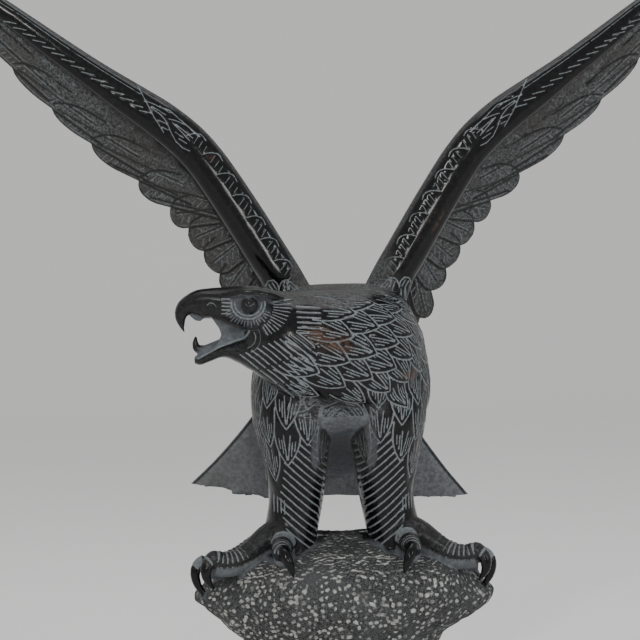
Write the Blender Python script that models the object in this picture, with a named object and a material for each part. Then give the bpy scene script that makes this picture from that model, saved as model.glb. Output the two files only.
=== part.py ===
"""Stone eagle with raised wings, gripping a rough rock on a low hewn base, all carved from one block.

Metres, +Z up.  X runs to the right of someone facing the chest and Y runs away from them.
The origin is the centre of the flat underside of the base.
The figure is drawn in units, where UNIT metres is one unit, with its heights counted from the
level of the feet.  The base below the rock has sizes of its own.
"""
import math

import bmesh
import bpy
import numpy as np
from mathutils import Matrix, Vector, noise

# Driving sizes, in metres
WINGSPAN = 0.96
BASE_WIDTH = 0.27
BASE_DEPTH = 0.215
BASE_HEIGHT = 0.062

# The figure's own measure: its wings are drawn 96 units from tip to tip
SPAN_UNITS = 96.0
UNIT = WINGSPAN / SPAN_UNITS

# Heights in units, from the level of the feet
WAIST_LEVEL = -11.4
ROCK_TOP = 3.3
LEG_MIDDLE = -0.5

# Fineness of the fused surface: sizes of the voxels in units, and rounds of smoothing
VOXEL = 0.21
SMOOTH_ROUNDS = 3
SOFT_VOXEL = 0.36
SOFT_ROUNDS = 12
FINENESS = 1
TRIANGLES = 9600

STONE_COLOUR = (0.022, 0.024, 0.027, 1.0)
STONE_ROUGHNESS = 0.32


def clear_scene():
    """Remove every object of the scene."""
    for item in list(bpy.data.objects):
        bpy.data.objects.remove(item, do_unlink=True)


def smooth_row(rows, place):
    """Value of a table of rows at a place counted in rows, on a curve through all of them."""
    rows = np.asarray(rows, float)
    last = len(rows) - 1
    place = min(max(place, 0.0), float(last))
    first = min(int(place), last - 1)
    part = place - first
    a = rows[max(first - 1, 0)]
    b = rows[first]
    c = rows[first + 1]
    d = rows[min(first + 2, last)]
    bend = (2 * b + (c - a) * part + (2 * a - 5 * b + 4 * c - d) * part ** 2
            + (3 * b - a - 3 * c + d) * part ** 3)
    return 0.5 * bend


def sample_rows(rows, steps):
    """The table's curve at a number of steps between each pair of rows."""
    steps = steps * FINENESS
    count = (len(rows) - 1) * steps
    return [smooth_row(rows, i / steps) for i in range(count + 1)]


class Forms:
    """Closed shells gathered in one list of corners and faces."""

    def __init__(self):
        self.corners = []
        self.faces = []

    def add(self, corners, faces):
        start = len(self.corners)
        self.corners.extend(tuple(p) for p in corners)
        self.faces.extend(tuple(start + i for i in face) for face in faces)

    def loft(self, rings):
        """A skin over rings of equal count, closed by a fan at each end."""
        rings = [np.asarray(r, float) for r in rings]
        count = len(rings[0])
        corners = [p for r in rings for p in r]
        faces = []
        for k in range(len(rings) - 1):
            for i in range(count):
                j = (i + 1) % count
                faces.append((k * count + i, k * count + j, (k + 1) * count + j, (k + 1) * count + i))
        for k, turn in ((0, -1), (len(rings) - 1, 1)):
            middle = len(corners)
            corners.append(rings[k].mean(axis=0))
            for i in range(count):
                j = (i + 1) % count
                fan = (k * count + i, k * count + j, middle)
                faces.append(fan[::turn])
        self.add(corners, self.outward(corners, faces))

    @staticmethod
    def outward(corners, faces):
        """Turn the faces over if the shell they make is inside out."""
        volume = 0.0
        for face in faces:
            for i in range(1, len(face) - 1):
                a, b, c = (np.asarray(corners[face[0]]), np.asarray(corners[face[i]]),
                           np.asarray(corners[face[i + 1]]))
                volume += np.dot(a, np.cross(b, c))
        return faces if volume > 0 else [face[::-1] for face in faces]


def oval(middle, across, up, half_across, half_up, power=2.0, count=24):
    """A rounded loop in the plane of two directions; a higher power is more square."""
    angle = 2 * math.pi * np.arange(count * FINENESS) / (count * FINENESS)
    c, s = np.cos(angle), np.sin(angle)
    x = np.copysign(np.abs(c) ** (2 / power), c) * half_across
    y = np.copysign(np.abs(s) ** (2 / power), s) * half_up
    return np.asarray(middle, float) + np.outer(x, across) + np.outer(y, up)


def unit_vector(v):
    v = np.asarray(v, float)
    return v / max(np.linalg.norm(v), 1e-9)


def tube(forms, rows, steps=5, count=14, flatten=1.0):
    """A rounded bar along rows of x, y, z and radius; flatten narrows it across the path."""
    samples = sample_rows(rows, steps)
    points = [s[:3] for s in samples]
    up = np.array((0.0, 0.0, 1.0))
    rings = []
    for i, sample in enumerate(samples):
        ahead = unit_vector(points[min(i + 1, len(points) - 1)] - points[max(i - 1, 0)])
        side = np.cross(ahead, up)
        if np.linalg.norm(side) < 0.2:
            side = np.cross(ahead, (0.0, 1.0, 0.0))
        side = unit_vector(side)
        up = unit_vector(np.cross(side, ahead))
        radius = max(sample[3], 0.04)
        rings.append(oval(sample[:3], side, up, radius * flatten, radius, 2.0, count))
    forms.loft(rings)


def upright_body(forms, rows, power=2.2, steps=4, count=40):
    """Level rings from rows of height, left, right, front and back."""
    rings = []
    for height, left, right, front, back in sample_rows(rows, steps):
        middle = ((left + right) / 2, (front + back) / 2, height)
        rings.append(oval(middle, (1, 0, 0), (0, 1, 0), (right - left) / 2, (back - front) / 2,
                          power, count))
    forms.loft(rings)


def sideways_body(forms, rows, power=2.2, steps=4, count=40):
    """Rings facing along X, from rows of x, low, high, front and back."""
    rings = []
    for x, low, high, front, back in sample_rows(rows, steps):
        middle = (x, (front + back) / 2, (low + high) / 2)
        rings.append(oval(middle, (0, 1, 0), (0, 0, 1), (back - front) / 2, (high - low) / 2,
                          power, count))
    forms.loft(rings)


def mirrored(rows, middle=0.0):
    """Rows whose first value is an x place, mirrored from side to side."""
    return [(2 * middle - row[0],) + tuple(row[1:]) for row in rows]


# Body: height, left, right, front, back
TORSO = (
    (34.5, -3.4, 3.4, -1.5, 5.5),
    (33.8, -6.0, 6.0, -4.0, 7.6),
    (32.2, -8.4, 8.4, -6.6, 9.0),
    (29.0, -9.8, 9.8, -8.8, 9.8),
    (26.0, -10.6, 10.6, -9.6, 9.8),
    (22.5, -11.3, 11.1, -9.4, 9.6),
    (19.0, -11.2, 10.8, -8.4, 9.4),
    (16.6, -9.6, 9.0, -5.4, 9.6),
    (14.2, -7.0, 6.6, 0.4, 9.8),
    (11.5, -4.6, 4.2, 5.2, 10.6),
    (9.8, -2.6, 2.4, 8.0, 11.6),
)

# Neck and skull: x, low, high, front, back
NECK = (
    (10.4, 22.5, 28.0, -2.4, 3.0),
    (9.0, 20.6, 30.2, -6.4, 3.6),
    (7.0, 19.0, 31.8, -9.2, 3.2),
    (4.0, 18.3, 33.0, -11.4, 2.2),
    (0.5, 18.6, 33.5, -12.5, 1.0),
    (-3.0, 19.4, 33.6, -13.0, -0.8),
    (-6.8, 20.9, 33.5, -13.0, -2.6),
    (-9.2, 22.4, 33.9, -12.7, -4.0),
    (-11.0, 23.7, 34.3, -12.4, -5.2),
    (-11.9, 24.5, 34.3, -11.9, -5.9),
    (-12.4, 25.6, 33.8, -10.9, -6.9),
)
HEAD_PLANE = -8.9

# Beak, station by station: top x, top z, bottom x, bottom z, half width
UPPER_BEAK = (
    (-10.6, 34.3, -10.4, 28.9, 3.3),
    (-12.4, 34.35, -12.2, 29.2, 3.15),
    (-14.3, 34.25, -14.0, 29.85, 2.6),
    (-16.2, 34.15, -15.8, 30.45, 2.1),
    (-17.9, 33.95, -17.0, 30.55, 1.75),
    (-19.2, 33.3, -18.1, 31.15, 1.4),
    (-20.1, 32.5, -18.9, 30.95, 1.1),
    (-20.5, 31.5, -19.25, 30.5, 0.85),
    (-20.45, 30.5, -19.35, 30.0, 0.6),
    (-20.0, 29.6, -19.45, 29.5, 0.36),
    (-19.45, 28.85, -19.35, 28.95, 0.12),
)
LOWER_BEAK = (
    (-10.4, 28.9, -10.2, 23.6, 3.0),
    (-12.0, 28.3, -11.8, 24.3, 2.7),
    (-13.4, 27.8, -13.1, 25.1, 2.25),
    (-15.0, 27.25, -14.8, 25.8, 1.85),
    (-16.5, 26.75, -16.4, 25.35, 1.5),
    (-17.7, 26.35, -17.6, 24.95, 1.15),
    (-18.35, 25.9, -18.3, 25.15, 0.55),
)
TONGUE = (
    (-12.2, HEAD_PLANE, 27.9, 1.0),
    (-15.0, HEAD_PLANE, 27.2, 0.85),
    (-16.9, HEAD_PLANE, 26.75, 0.62),
    (-17.95, HEAD_PLANE, 26.95, 0.5),
    (-18.15, HEAD_PLANE, 27.7, 0.34),
    (-18.05, HEAD_PLANE, 28.45, 0.1),
)
# Skin across the back of the open mouth: x, z
MOUTH_SKIN = ((-11.0, 30.6), (-16.5, 31.2), (-15.8, 30.1), (-15.25, 29.3), (-15.0, 28.5),
              (-15.3, 27.8), (-16.0, 27.0), (-13.0, 27.0), (-11.0, 27.6))
MOUTH_SKIN_HALF = 1.35
# Roof of the mouth, seen below the beak's edge just behind its hook: x, z
PALATE = ((-19.0, 31.5), (-18.65, 30.8), (-18.1, 30.3), (-17.5, 30.2), (-17.0, 30.6), (-16.7, 31.3),
          (-17.6, 32.0))
PALATE_HALF = 0.55

EYE_X, EYE_Z, EYE_RADIUS, EYE_OUT = -11.6, 31.9, 1.15, 2.9
BROW = ((-15.0, 2.1, 33.1, 0.28), (-13.2, 2.95, 33.35, 0.42), (-11.4, 3.35, 33.5, 0.5),
        (-9.4, 3.55, 33.1, 0.42), (-7.6, 3.4, 32.5, 0.3))

# Left leg, from hip to ankle: height, left, right, front, back
LEG = (
    (27.0, -9.0, -3.8, -3.0, 4.0),
    (24.0, -10.7, -2.6, -6.8, 5.2),
    (20.5, -11.4, -1.6, -8.6, 6.0),
    (17.5, -11.2, -1.5, -8.9, 5.8),
    (14.2, -10.5, -1.9, -8.0, 4.8),
    (11.0, -9.9, -2.3, -6.9, 3.6),
    (8.2, -9.5, -2.7, -6.0, 2.8),
    (6.0, -9.8, -3.1, -5.6, 2.6),
    (4.0, -10.3, -3.5, -5.6, 2.8),
    (2.0, -10.9, -3.8, -5.8, 3.2),
    (-0.5, -10.8, -4.2, -5.6, 3.2),
)
# Toes of the left foot: x, y, z, radius
TOES = (
    ((-7.4, -2.4, 4.1, 2.1), (-9.6, -3.8, 3.5, 1.75), (-11.8, -4.9, 2.2, 1.35),
     (-13.6, -5.7, 1.2, 1.15), (-15.4, -6.2, 1.05, 1.12), (-16.5, -6.5, 1.3, 1.12),
     (-17.2, -6.8, 0.9, 0.85)),
    ((-7.8, -0.8, 3.4, 1.9), (-10.6, -1.6, 2.6, 1.5), (-13.2, -2.3, 1.3, 1.2),
     (-15.6, -2.8, 0.5, 1.1), (-17.2, -3.1, 0.45, 1.05), (-18.2, -3.3, 0.5, 0.85)),
    ((-7.4, -3.0, 3.6, 2.0), (-7.9, -5.4, 3.2, 1.6), (-8.3, -7.4, 2.55, 1.25),
     (-8.4, -8.7, 2.3, 1.15), (-8.3, -9.5, 2.1, 0.85)),
    ((-7.2, 1.4, 3.0, 1.7), (-6.6, 4.0, 2.3, 1.3), (-6.3, 6.0, 1.5, 1.1), (-6.2, 7.2, 1.2, 0.8)),
)
# Stone left standing between a toe and the rock: how far below the toe, and its share of the width
WEB_DROP, WEB_SHARE = 1.0, 0.86
TALONS = (
    ((-16.6, -6.6, 1.35, 0.85), (-17.35, -7.1, 0.7, 0.78), (-17.55, -7.4, -0.4, 0.62),
     (-17.2, -7.4, -1.4, 0.4), (-16.6, -7.2, -2.2, 0.14)),
    ((-17.6, -3.2, 0.85, 0.8), (-18.45, -3.4, 0.35, 0.74), (-18.85, -3.5, -0.75, 0.6),
     (-18.6, -3.5, -2.0, 0.5), (-17.9, -3.4, -3.2, 0.35)),
    ((-8.4, -8.6, 2.5, 0.95), (-8.2, -9.9, 2.3, 0.85), (-7.8, -10.7, 1.4, 0.66),
     (-7.4, -10.8, 0.3, 0.42), (-7.15, -10.5, -0.6, 0.14)),
    ((-6.2, 6.6, 1.5, 0.8), (-6.1, 8.0, 1.2, 0.7), (-6.0, 8.9, 0.2, 0.5), (-6.0, 9.0, -1.0, 0.15)),
)

# Right wing's arm, from shoulder to tip: outer edge x and z, crease x and z, half thickness, y
ARM = (
    (2.0, 31.5, 7.6, 28.5, 2.6, 2.6),
    (4.6, 36.4, 9.3, 34.0, 2.6, 2.2),
    (6.4, 39.4, 11.1, 37.1, 2.4, 2.0),
    (9.3, 44.2, 13.8, 41.7, 2.2, 1.8),
    (12.5, 49.2, 17.1, 47.0, 2.05, 1.7),
    (14.5, 52.0, 18.9, 49.5, 1.95, 1.7),
    (16.8, 54.6, 21.0, 51.7, 1.85, 1.7),
    (20.2, 57.4, 23.9, 54.2, 1.6, 1.8),
    (24.3, 60.0, 27.6, 57.1, 1.4, 2.0),
    (28.8, 62.8, 31.1, 60.0, 1.25, 2.2),
    (33.2, 65.8, 35.0, 63.1, 1.15, 2.4),
    (37.6, 68.9, 39.0, 66.4, 1.05, 2.7),
    (42.2, 72.1, 43.2, 70.1, 0.9, 3.1),
    (46.0, 74.7, 46.5, 73.5, 0.7, 3.5),
    (48.0, 76.1, 48.1, 75.8, 0.35, 3.7),
)
# Notches between the feather ends along the right wing: x and z
NOTCHES = ((11.2, 28.4), (12.5, 33.0), (14.5, 36.1), (16.6, 39.5), (18.9, 42.6), (21.3, 45.5),
           (25.4, 49.2), (30.5, 53.6), (35.4, 58.1), (40.2, 63.2), (44.4, 68.6), (47.9, 75.0))
# How each feather lies: angle above level, share of its lobe past the axis, length of its end, length
FEATHERS = ((-74, 0.5, 2.2, 8.0), (-54, 0.5, 1.9, 9.0), (-36, 0.5, 1.8, 9.0), (-20, 0.5, 1.8, 9.0),
            (-4, 0.55, 1.9, 10.0), (17, 0.75, 3.2, 13.0), (27, 1.0, 4.6, 16.0), (32, 1.0, 5.0, 17.0),
            (37, 1.0, 5.4, 16.0), (43, 1.0, 5.6, 13.0), (52, 0.6, 5.0, 8.0))
FEATHER_THICKNESS = 0.62
FEATHER_RIM = 0.3
WEB_THICKNESS = 0.42
SWEEP_BACK = 0.78
SWEEP_START = 2.4
EDGE_DEPTH = 10.2

# Tail fan: height, left, right and the y of its middle
TAIL = (
    (23.0, -6.2, 5.6, 7.2),
    (19.4, -9.2, 8.3, 9.0),
    (15.2, -12.3, 11.3, 11.0),
    (11.1, -15.7, 14.5, 13.0),
    (7.6, -19.1, 17.6, 14.6),
)
TAIL_TILT = -0.068
TAIL_HALF_THICKNESS = 0.75
TAIL_FEATHERS = 9
TAIL_LOBE = 0.2
# Places across the tail as shares from the left, and how far its lower edge hangs there
TAIL_SAG_PLACES = (0.0, 0.1, 0.15, 0.3, 0.38, 0.5, 0.8, 0.92, 1.0)
TAIL_SAG = (0.0, 0.3, 1.1, 1.55, 1.4, 0.65, 0.45, 0.5, 0.0)

# Rock: height, half width, half depth, middle x, middle y
ROCK = (
    (ROCK_TOP, 3.0, 2.0, 1.6, 1.6),
    (2.6, 7.4, 4.8, 1.0, 1.0),
    (1.4, 11.4, 7.6, 0.4, 0.5),
    (0.0, 14.6, 9.4, 0.0, 0.1),
    (-1.6, 16.7, 10.3, -0.2, 0.0),
    (-3.8, 18.2, 11.0, -0.4, 0.0),
    (-5.2, 17.7, 10.8, -0.2, 0.0),
    (-7.2, 15.6, 9.9, -0.3, 0.0),
    (-9.4, 12.7, 8.7, -0.5, 0.0),
    (WAIST_LEVEL, 10.9, 7.9, -0.3, 0.0),
)
ROCK_LUMP = 0.55
ROCK_LUMP_SIZE = 5.5


def soft_body(forms):
    """Torso, neck and thighs, fused by themselves first so that they flow into each other."""
    soft = Forms()
    upright_body(soft, TORSO)
    sideways_body(soft, NECK, power=2.25)
    for rows in (LEG, swapped_leg()):
        upright_body(soft, rows, power=2.1, count=30)
    skin = fused(soft, SOFT_VOXEL, SOFT_ROUNDS)
    forms.add([tuple(v.co) for v in skin.vertices], [tuple(p.vertices) for p in skin.polygons])
    bpy.data.meshes.remove(skin)


def swapped_leg():
    """The right leg's rows: the left leg's, mirrored about the legs' middle."""
    return [(h, 2 * LEG_MIDDLE - right, 2 * LEG_MIDDLE - left, front, back)
            for h, left, right, front, back in LEG]


def head(forms):
    """Open hooked beak, tongue, eyes and brows, on the end of the neck."""
    for table in (UPPER_BEAK, LOWER_BEAK):
        rings = []
        for top_x, top_z, low_x, low_z, half in sample_rows(table, 4):
            middle = ((top_x + low_x) / 2, HEAD_PLANE, (top_z + low_z) / 2)
            up = np.array((top_x - low_x, 0.0, top_z - low_z))
            rings.append(oval(middle, (0, 1, 0), unit_vector(up), half, np.linalg.norm(up) / 2,
                              2.3, 24))
        forms.loft(rings)
    tube(forms, TONGUE, count=12)
    for outline, half in ((MOUTH_SKIN, MOUTH_SKIN_HALF), (PALATE, PALATE_HALF)):
        forms.loft([[(x, HEAD_PLANE + side * half, z) for x, z in outline] for side in (-1, 1)])
    for side in (-1, 1):
        eye = (EYE_X, HEAD_PLANE + side * EYE_OUT, EYE_Z)
        ball(forms, eye, EYE_RADIUS)
        tube(forms, [(x, HEAD_PLANE + side * out, z, r) for x, out, z, r in BROW], count=10)


def ball(forms, middle, radius):
    rings = []
    for i in range(1, 12):
        angle = math.pi * i / 12
        level = (middle[0], middle[1], middle[2] + radius * math.cos(angle))
        ring_radius = radius * math.sin(angle)
        rings.append(oval(level, (1, 0, 0), (0, 1, 0), ring_radius, ring_radius, 2.0, 16))
    forms.loft(rings)


def feet(forms):
    """Four toes and talons a foot, mirrored about the legs' middle."""
    webs = [[(x, y, z - WEB_DROP, r * WEB_SHARE) for x, y, z, r in toe[:-1]] for toe in TOES]
    for rows in list(TOES + TALONS) + webs:
        tube(forms, rows)
        tube(forms, mirrored(rows, LEG_MIDDLE))


def wing_depth(x, z, edge):
    """How far back the wing's sheet lies at places: it sweeps back from the arm's outer edge."""
    place = np.stack([np.asarray(x), np.asarray(z)], axis=-1)[:, None, :]
    run = edge[1:] - edge[:-1]
    part = np.clip(((place - edge[:-1]) * run).sum(axis=-1) / (run * run).sum(axis=-1), 0.0, 1.0)
    away = np.linalg.norm(place - edge[:-1] - part[..., None] * run, axis=-1).min(axis=1)
    return np.minimum(SWEEP_START + SWEEP_BACK * away, EDGE_DEPTH)


def wing(forms, side):
    """One wing: the rounded arm, the web behind it and its row of long feathers."""
    arm = sample_rows(ARM, 3)
    edge = np.array([(row[0], row[1]) for row in sample_rows(ARM, 2)])
    rings = []
    for outer_x, outer_z, crease_x, crease_z, half, y in arm:
        across = np.array((outer_x - crease_x, 0.0, outer_z - crease_z))
        middle = ((outer_x + crease_x) / 2 * side, y, (outer_z + crease_z) / 2)
        flat = unit_vector(across) * (side, 1, 1)
        rings.append(oval(middle, flat, (0, 1, 0), np.linalg.norm(across) / 2, half, 2.3, 22))
    forms.loft(rings)

    # Web from the middle of the arm to just inside the notches
    rings = []
    steps = 40 * FINENESS
    out = np.linspace(0.0, 1.0, 9)
    for i in range(steps + 1):
        share = i / steps
        arm_row = smooth_row(ARM, 1 + share * (len(ARM) - 2))
        notch = smooth_row(NOTCHES, share * (len(NOTCHES) - 1))
        start = np.array((0.6 * arm_row[0] + 0.4 * arm_row[2], 0.6 * arm_row[1] + 0.4 * arm_row[3]))
        end = start + (notch - start) * 0.93
        x = start[0] + (end[0] - start[0]) * out
        z = start[1] + (end[1] - start[1]) * out
        depth = wing_depth(x, z, edge)
        near_face = np.stack([x * side, depth - WEB_THICKNESS, z], axis=1)
        far_face = np.stack([x * side, depth + WEB_THICKNESS, z], axis=1)[::-1]
        rings.append(np.concatenate([near_face, far_face]))
    forms.loft(rings)

    for number, (angle, lobe, end_length, length) in enumerate(FEATHERS):
        feather(forms, side, number, math.radians(angle), lobe, end_length, length, edge)


def feather(forms, side, number, angle, lobe, end_length, length, edge):
    """One long wing feather as a thin rounded blade, from under the arm to its own lobe."""
    near, far = np.array(NOTCHES[number]), np.array(NOTCHES[number + 1])
    along = np.array((math.cos(angle), math.sin(angle)))
    across = np.array((math.sin(angle), -math.cos(angle)))
    spread = abs(np.dot(far - near, across))
    half = spread * lobe + 0.3
    on_axis = near + (far - near) * lobe
    tip = on_axis + along * (0.8 - 0.55 * (lobe - 0.5) * 2)
    rings = []
    steps = 26 * FINENESS
    for i in range(steps + 1):
        share = i / steps
        back = (1.0 - share) ** 1.25 * length
        rounding = min(back / end_length, 1.0)
        width = half * math.sqrt(max(1.0 - (1.0 - rounding) ** 2, 0.002))
        width *= 0.72 + 0.28 * min(1.0, (length - back) / (0.5 * length) + 0.2)
        place = tip - along * back
        sweep = np.linspace(-1.0, 1.0, 8 * FINENESS + 1)
        sweep = np.concatenate([sweep, sweep[::-1]])
        face = np.repeat((-1.0, 1.0), 8 * FINENESS + 1)
        x = place[0] + across[0] * sweep * width
        z = place[1] + across[1] * sweep * width
        bulge = FEATHER_RIM + (FEATHER_THICKNESS - FEATHER_RIM) * np.sqrt(1 - sweep ** 2 * 0.98)
        depth = wing_depth(x, z, edge) + 0.34 * sweep + face * bulge
        rings.append(np.stack([x * side, depth, z], axis=1))
    forms.loft(rings)


def tail(forms):
    """Fan of broad tail feathers: smooth in front, divided behind and lobed at its lower edge."""
    columns = TAIL_FEATHERS * 10
    rings = []
    rows = sample_rows(TAIL, 4)
    for index, (height, left, right, y) in enumerate(rows):
        reach = index / (len(rows) - 1)
        front, back = [], []
        for i in range(columns + 1):
            share = i / columns
            x = left + (right - left) * share
            lobe = math.sin(math.pi * share * TAIL_FEATHERS) ** 2
            sag = float(np.interp(share, TAIL_SAG_PLACES, TAIL_SAG))
            low = height + TAIL_TILT * x - reach ** 3 * (TAIL_LOBE * lobe + sag)
            cup = 1.1 * (2 * share - 1) ** 2 * reach
            ridge = 0.22 * lobe * reach
            rim = TAIL_HALF_THICKNESS * (1.0 - 0.45 * abs(2 * share - 1) ** 3)
            front.append((x, y - cup - rim, low))
            back.append((x, y - cup + rim + ridge, low))
        rings.append(front + back[::-1])
    forms.loft(rings)


def rock_ring(height, half_width, half_depth, middle_x, middle_y, lump, count=72):
    loop = []
    for place in oval((middle_x, middle_y, height), (1, 0, 0), (0, 1, 0), half_width, half_depth,
                      2.15, count):
        bump = noise.noise(Vector(place) / ROCK_LUMP_SIZE + Vector((3.1, 0.4, 7.7)))
        bump += 0.45 * noise.noise(Vector(place) / (0.42 * ROCK_LUMP_SIZE))
        outward = unit_vector((place[0] - middle_x, place[1] - middle_y, 0.0))
        loop.append(place + outward * bump * lump * 2 + np.array((0, 0, bump * lump * 0.6)))
    return loop


def rock_and_base(forms):
    """The rough rock under the feet, its waist, and the low hewn base that it stands on."""
    rings = [rock_ring(*row, ROCK_LUMP) for row in sample_rows(ROCK, 3)]
    waist_width, waist_depth = ROCK[-1][1], ROCK[-1][2]
    foot_width, foot_depth = BASE_WIDTH / 2 / UNIT, BASE_DEPTH / 2 / UNIT
    drop = BASE_HEIGHT / UNIT
    # Share of the drop, and share of the way from the waist to the foot
    for down, out in ((0.14, 0.04), (0.3, 0.2), (0.46, 0.52), (0.6, 0.8), (0.74, 0.95), (0.9, 1.0),
                      (1.0, 1.0)):
        lump = ROCK_LUMP * (1.0 - out) + 0.18 * out * (down < 0.8)
        rings.append(rock_ring(WAIST_LEVEL - drop * down, waist_width + (foot_width - waist_width) * out,
                               waist_depth + (foot_depth - waist_depth) * out,
                               -0.3 * (1 - out), 0.0, lump if down < 1.0 else 0.0))
    floor = WAIST_LEVEL - drop
    rings[-1] = [np.array((p[0], p[1], floor)) for p in rings[-1]]
    forms.loft(rings)


def gather_forms():
    """Every form of the carving, in units from the level of the feet."""
    forms = Forms()
    soft_body(forms)
    head(forms)
    feet(forms)
    for side in (-1, 1):
        wing(forms, side)
    tail(forms)
    rock_and_base(forms)
    return forms


def fused(forms, voxel, rounds, triangles=0):
    """One closed skin around all the forms, smoothed, and cut down to a number of triangles if given."""
    rough = bpy.data.meshes.new("rough_forms")
    rough.from_pydata(forms.corners, [], forms.faces)
    rough.update()
    worker = bpy.data.objects.new("rough_forms", rough)
    bpy.context.scene.collection.objects.link(worker)
    fuse = worker.modifiers.new("fuse", "REMESH")
    fuse.mode = "VOXEL"
    fuse.voxel_size = voxel
    fuse.adaptivity = 0.0
    even = worker.modifiers.new("even", "SMOOTH")
    even.factor = 0.5
    even.iterations = rounds
    skin = evaluated(worker)
    if triangles:
        skin.calc_loop_triangles()
        share = triangles / max(len(skin.loop_triangles), triangles)
        worker.modifiers.clear()
        worker.data = skin
        facets = worker.modifiers.new("facets", "DECIMATE")
        facets.decimate_type = "COLLAPSE"
        facets.use_collapse_triangulate = True
        facets.ratio = share
        skin = evaluated(worker)
    bpy.data.objects.remove(worker, do_unlink=True)
    return skin


def evaluated(worker):
    """The mesh that an object's modifiers make."""
    bpy.context.view_layer.update()
    state = bpy.context.evaluated_depsgraph_get()
    return bpy.data.meshes.new_from_object(worker.evaluated_get(state))


def stone_material():
    material = bpy.data.materials.new("polished_black_stone")
    material.use_nodes = True
    shader = material.node_tree.nodes["Principled BSDF"]
    shader.inputs["Base Color"].default_value = STONE_COLOUR
    shader.inputs["Roughness"].default_value = STONE_ROUGHNESS
    shader.inputs["Metallic"].default_value = 0.0
    material.diffuse_color = STONE_COLOUR
    return material


def keep_main_skin(mesh_data):
    """Drop any loose or inner scrap, so that the stone is one closed skin."""
    groups = []
    waiting = set(mesh_data.faces)
    while waiting:
        start = waiting.pop()
        group, edge_of_group = {start}, [start]
        while edge_of_group:
            face = edge_of_group.pop()
            for edge in face.edges:
                for other in edge.link_faces:
                    if other in waiting:
                        waiting.discard(other)
                        group.add(other)
                        edge_of_group.append(other)
        groups.append(group)
    groups.sort(key=len, reverse=True)
    scraps = [face for group in groups[1:] for face in group]
    if scraps:
        bmesh.ops.delete(mesh_data, geom=scraps, context="FACES")


def flat_underside(mesh_data):
    """Bring the corners of the underside to height zero and make them one flat face."""
    near_floor = 2.2 * VOXEL * UNIT
    for corner in mesh_data.verts:
        if corner.co.z < near_floor:
            corner.co.z = 0.0
    bmesh.ops.remove_doubles(mesh_data, verts=mesh_data.verts, dist=0.02 * UNIT)
    bmesh.ops.dissolve_degenerate(mesh_data, edges=mesh_data.edges, dist=0.01 * UNIT)
    floor_faces = [f for f in mesh_data.faces if all(v.co.z == 0.0 for v in f.verts)]
    bmesh.ops.dissolve_faces(mesh_data, faces=floor_faces, use_verts=True)


def build():
    clear_scene()
    skin = fused(gather_forms(), VOXEL, SMOOTH_ROUNDS, TRIANGLES)
    lift = BASE_HEIGHT - WAIST_LEVEL * UNIT
    skin.transform(Matrix.Translation((0.0, 0.0, lift)) @ Matrix.Scale(UNIT, 4))
    work = bmesh.new()
    work.from_mesh(skin)
    keep_main_skin(work)
    flat_underside(work)
    bmesh.ops.recalc_face_normals(work, faces=work.faces)
    work.to_mesh(skin)
    work.free()
    skin.name = "eagle_on_rock"
    skin.materials.clear()
    skin.materials.append(stone_material())
    stone = bpy.data.objects.new("eagle_on_rock", skin)
    bpy.context.scene.collection.objects.link(stone)


build()
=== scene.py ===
"""Looks of the stone eagle: its carved skin, incised feathers, polished and rough stone, light and camera.

Metres, +Z up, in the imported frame: X to the right of someone facing the chest, Y away from them.
The forms are drawn in units as the solid's are, then fused finely, engraved and thinned out.
"""
import itertools
import math

import bmesh
import bpy
import numpy as np
from mathutils import Matrix, Vector, noise
from mathutils.bvhtree import BVHTree
from mathutils.kdtree import KDTree


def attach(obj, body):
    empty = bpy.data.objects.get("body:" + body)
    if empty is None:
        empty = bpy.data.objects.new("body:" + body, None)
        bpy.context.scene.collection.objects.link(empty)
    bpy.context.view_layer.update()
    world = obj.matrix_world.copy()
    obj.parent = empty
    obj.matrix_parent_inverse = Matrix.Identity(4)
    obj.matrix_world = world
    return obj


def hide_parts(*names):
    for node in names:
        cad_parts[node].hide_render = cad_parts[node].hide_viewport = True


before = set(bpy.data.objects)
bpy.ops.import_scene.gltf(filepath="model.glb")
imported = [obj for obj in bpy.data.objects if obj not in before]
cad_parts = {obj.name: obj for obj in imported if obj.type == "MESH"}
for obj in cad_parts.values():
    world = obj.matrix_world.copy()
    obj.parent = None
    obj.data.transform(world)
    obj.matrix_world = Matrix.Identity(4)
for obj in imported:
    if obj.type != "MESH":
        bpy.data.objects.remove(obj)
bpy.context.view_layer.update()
NODE = "eagle_on_rock"

# Driving sizes, in metres
WINGSPAN = 0.96
BASE_WIDTH = 0.27
BASE_DEPTH = 0.215
BASE_HEIGHT = 0.062

# The figure's own measure: its wings are drawn 96 units from tip to tip
SPAN_UNITS = 96.0
UNIT = WINGSPAN / SPAN_UNITS

# Heights in units, from the level of the feet
WAIST_LEVEL = -11.4
ROCK_TOP = 3.3
LEG_MIDDLE = -0.5

# Height of the feet in metres, and how far up the underside is made flat
FEET_HEIGHT = BASE_HEIGHT - WAIST_LEVEL * UNIT
FLAT_BELOW = 0.0022

# Fineness of the fused surface: sizes of the voxels in units, and rounds of smoothing
VOXEL = 0.11
SMOOTH_ROUNDS = 5
SOFT_VOXEL = 0.36
SOFT_ROUNDS = 12
FINENESS = 2


def smooth_row(rows, place):
    """Value of a table of rows at a place counted in rows, on a curve through all of them."""
    rows = np.asarray(rows, float)
    last = len(rows) - 1
    place = min(max(place, 0.0), float(last))
    first = min(int(place), last - 1)
    part = place - first
    a = rows[max(first - 1, 0)]
    b = rows[first]
    c = rows[first + 1]
    d = rows[min(first + 2, last)]
    bend = (2 * b + (c - a) * part + (2 * a - 5 * b + 4 * c - d) * part ** 2
            + (3 * b - a - 3 * c + d) * part ** 3)
    return 0.5 * bend


def sample_rows(rows, steps):
    """The table's curve at a number of steps between each pair of rows."""
    steps = steps * FINENESS
    count = (len(rows) - 1) * steps
    return [smooth_row(rows, i / steps) for i in range(count + 1)]


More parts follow.
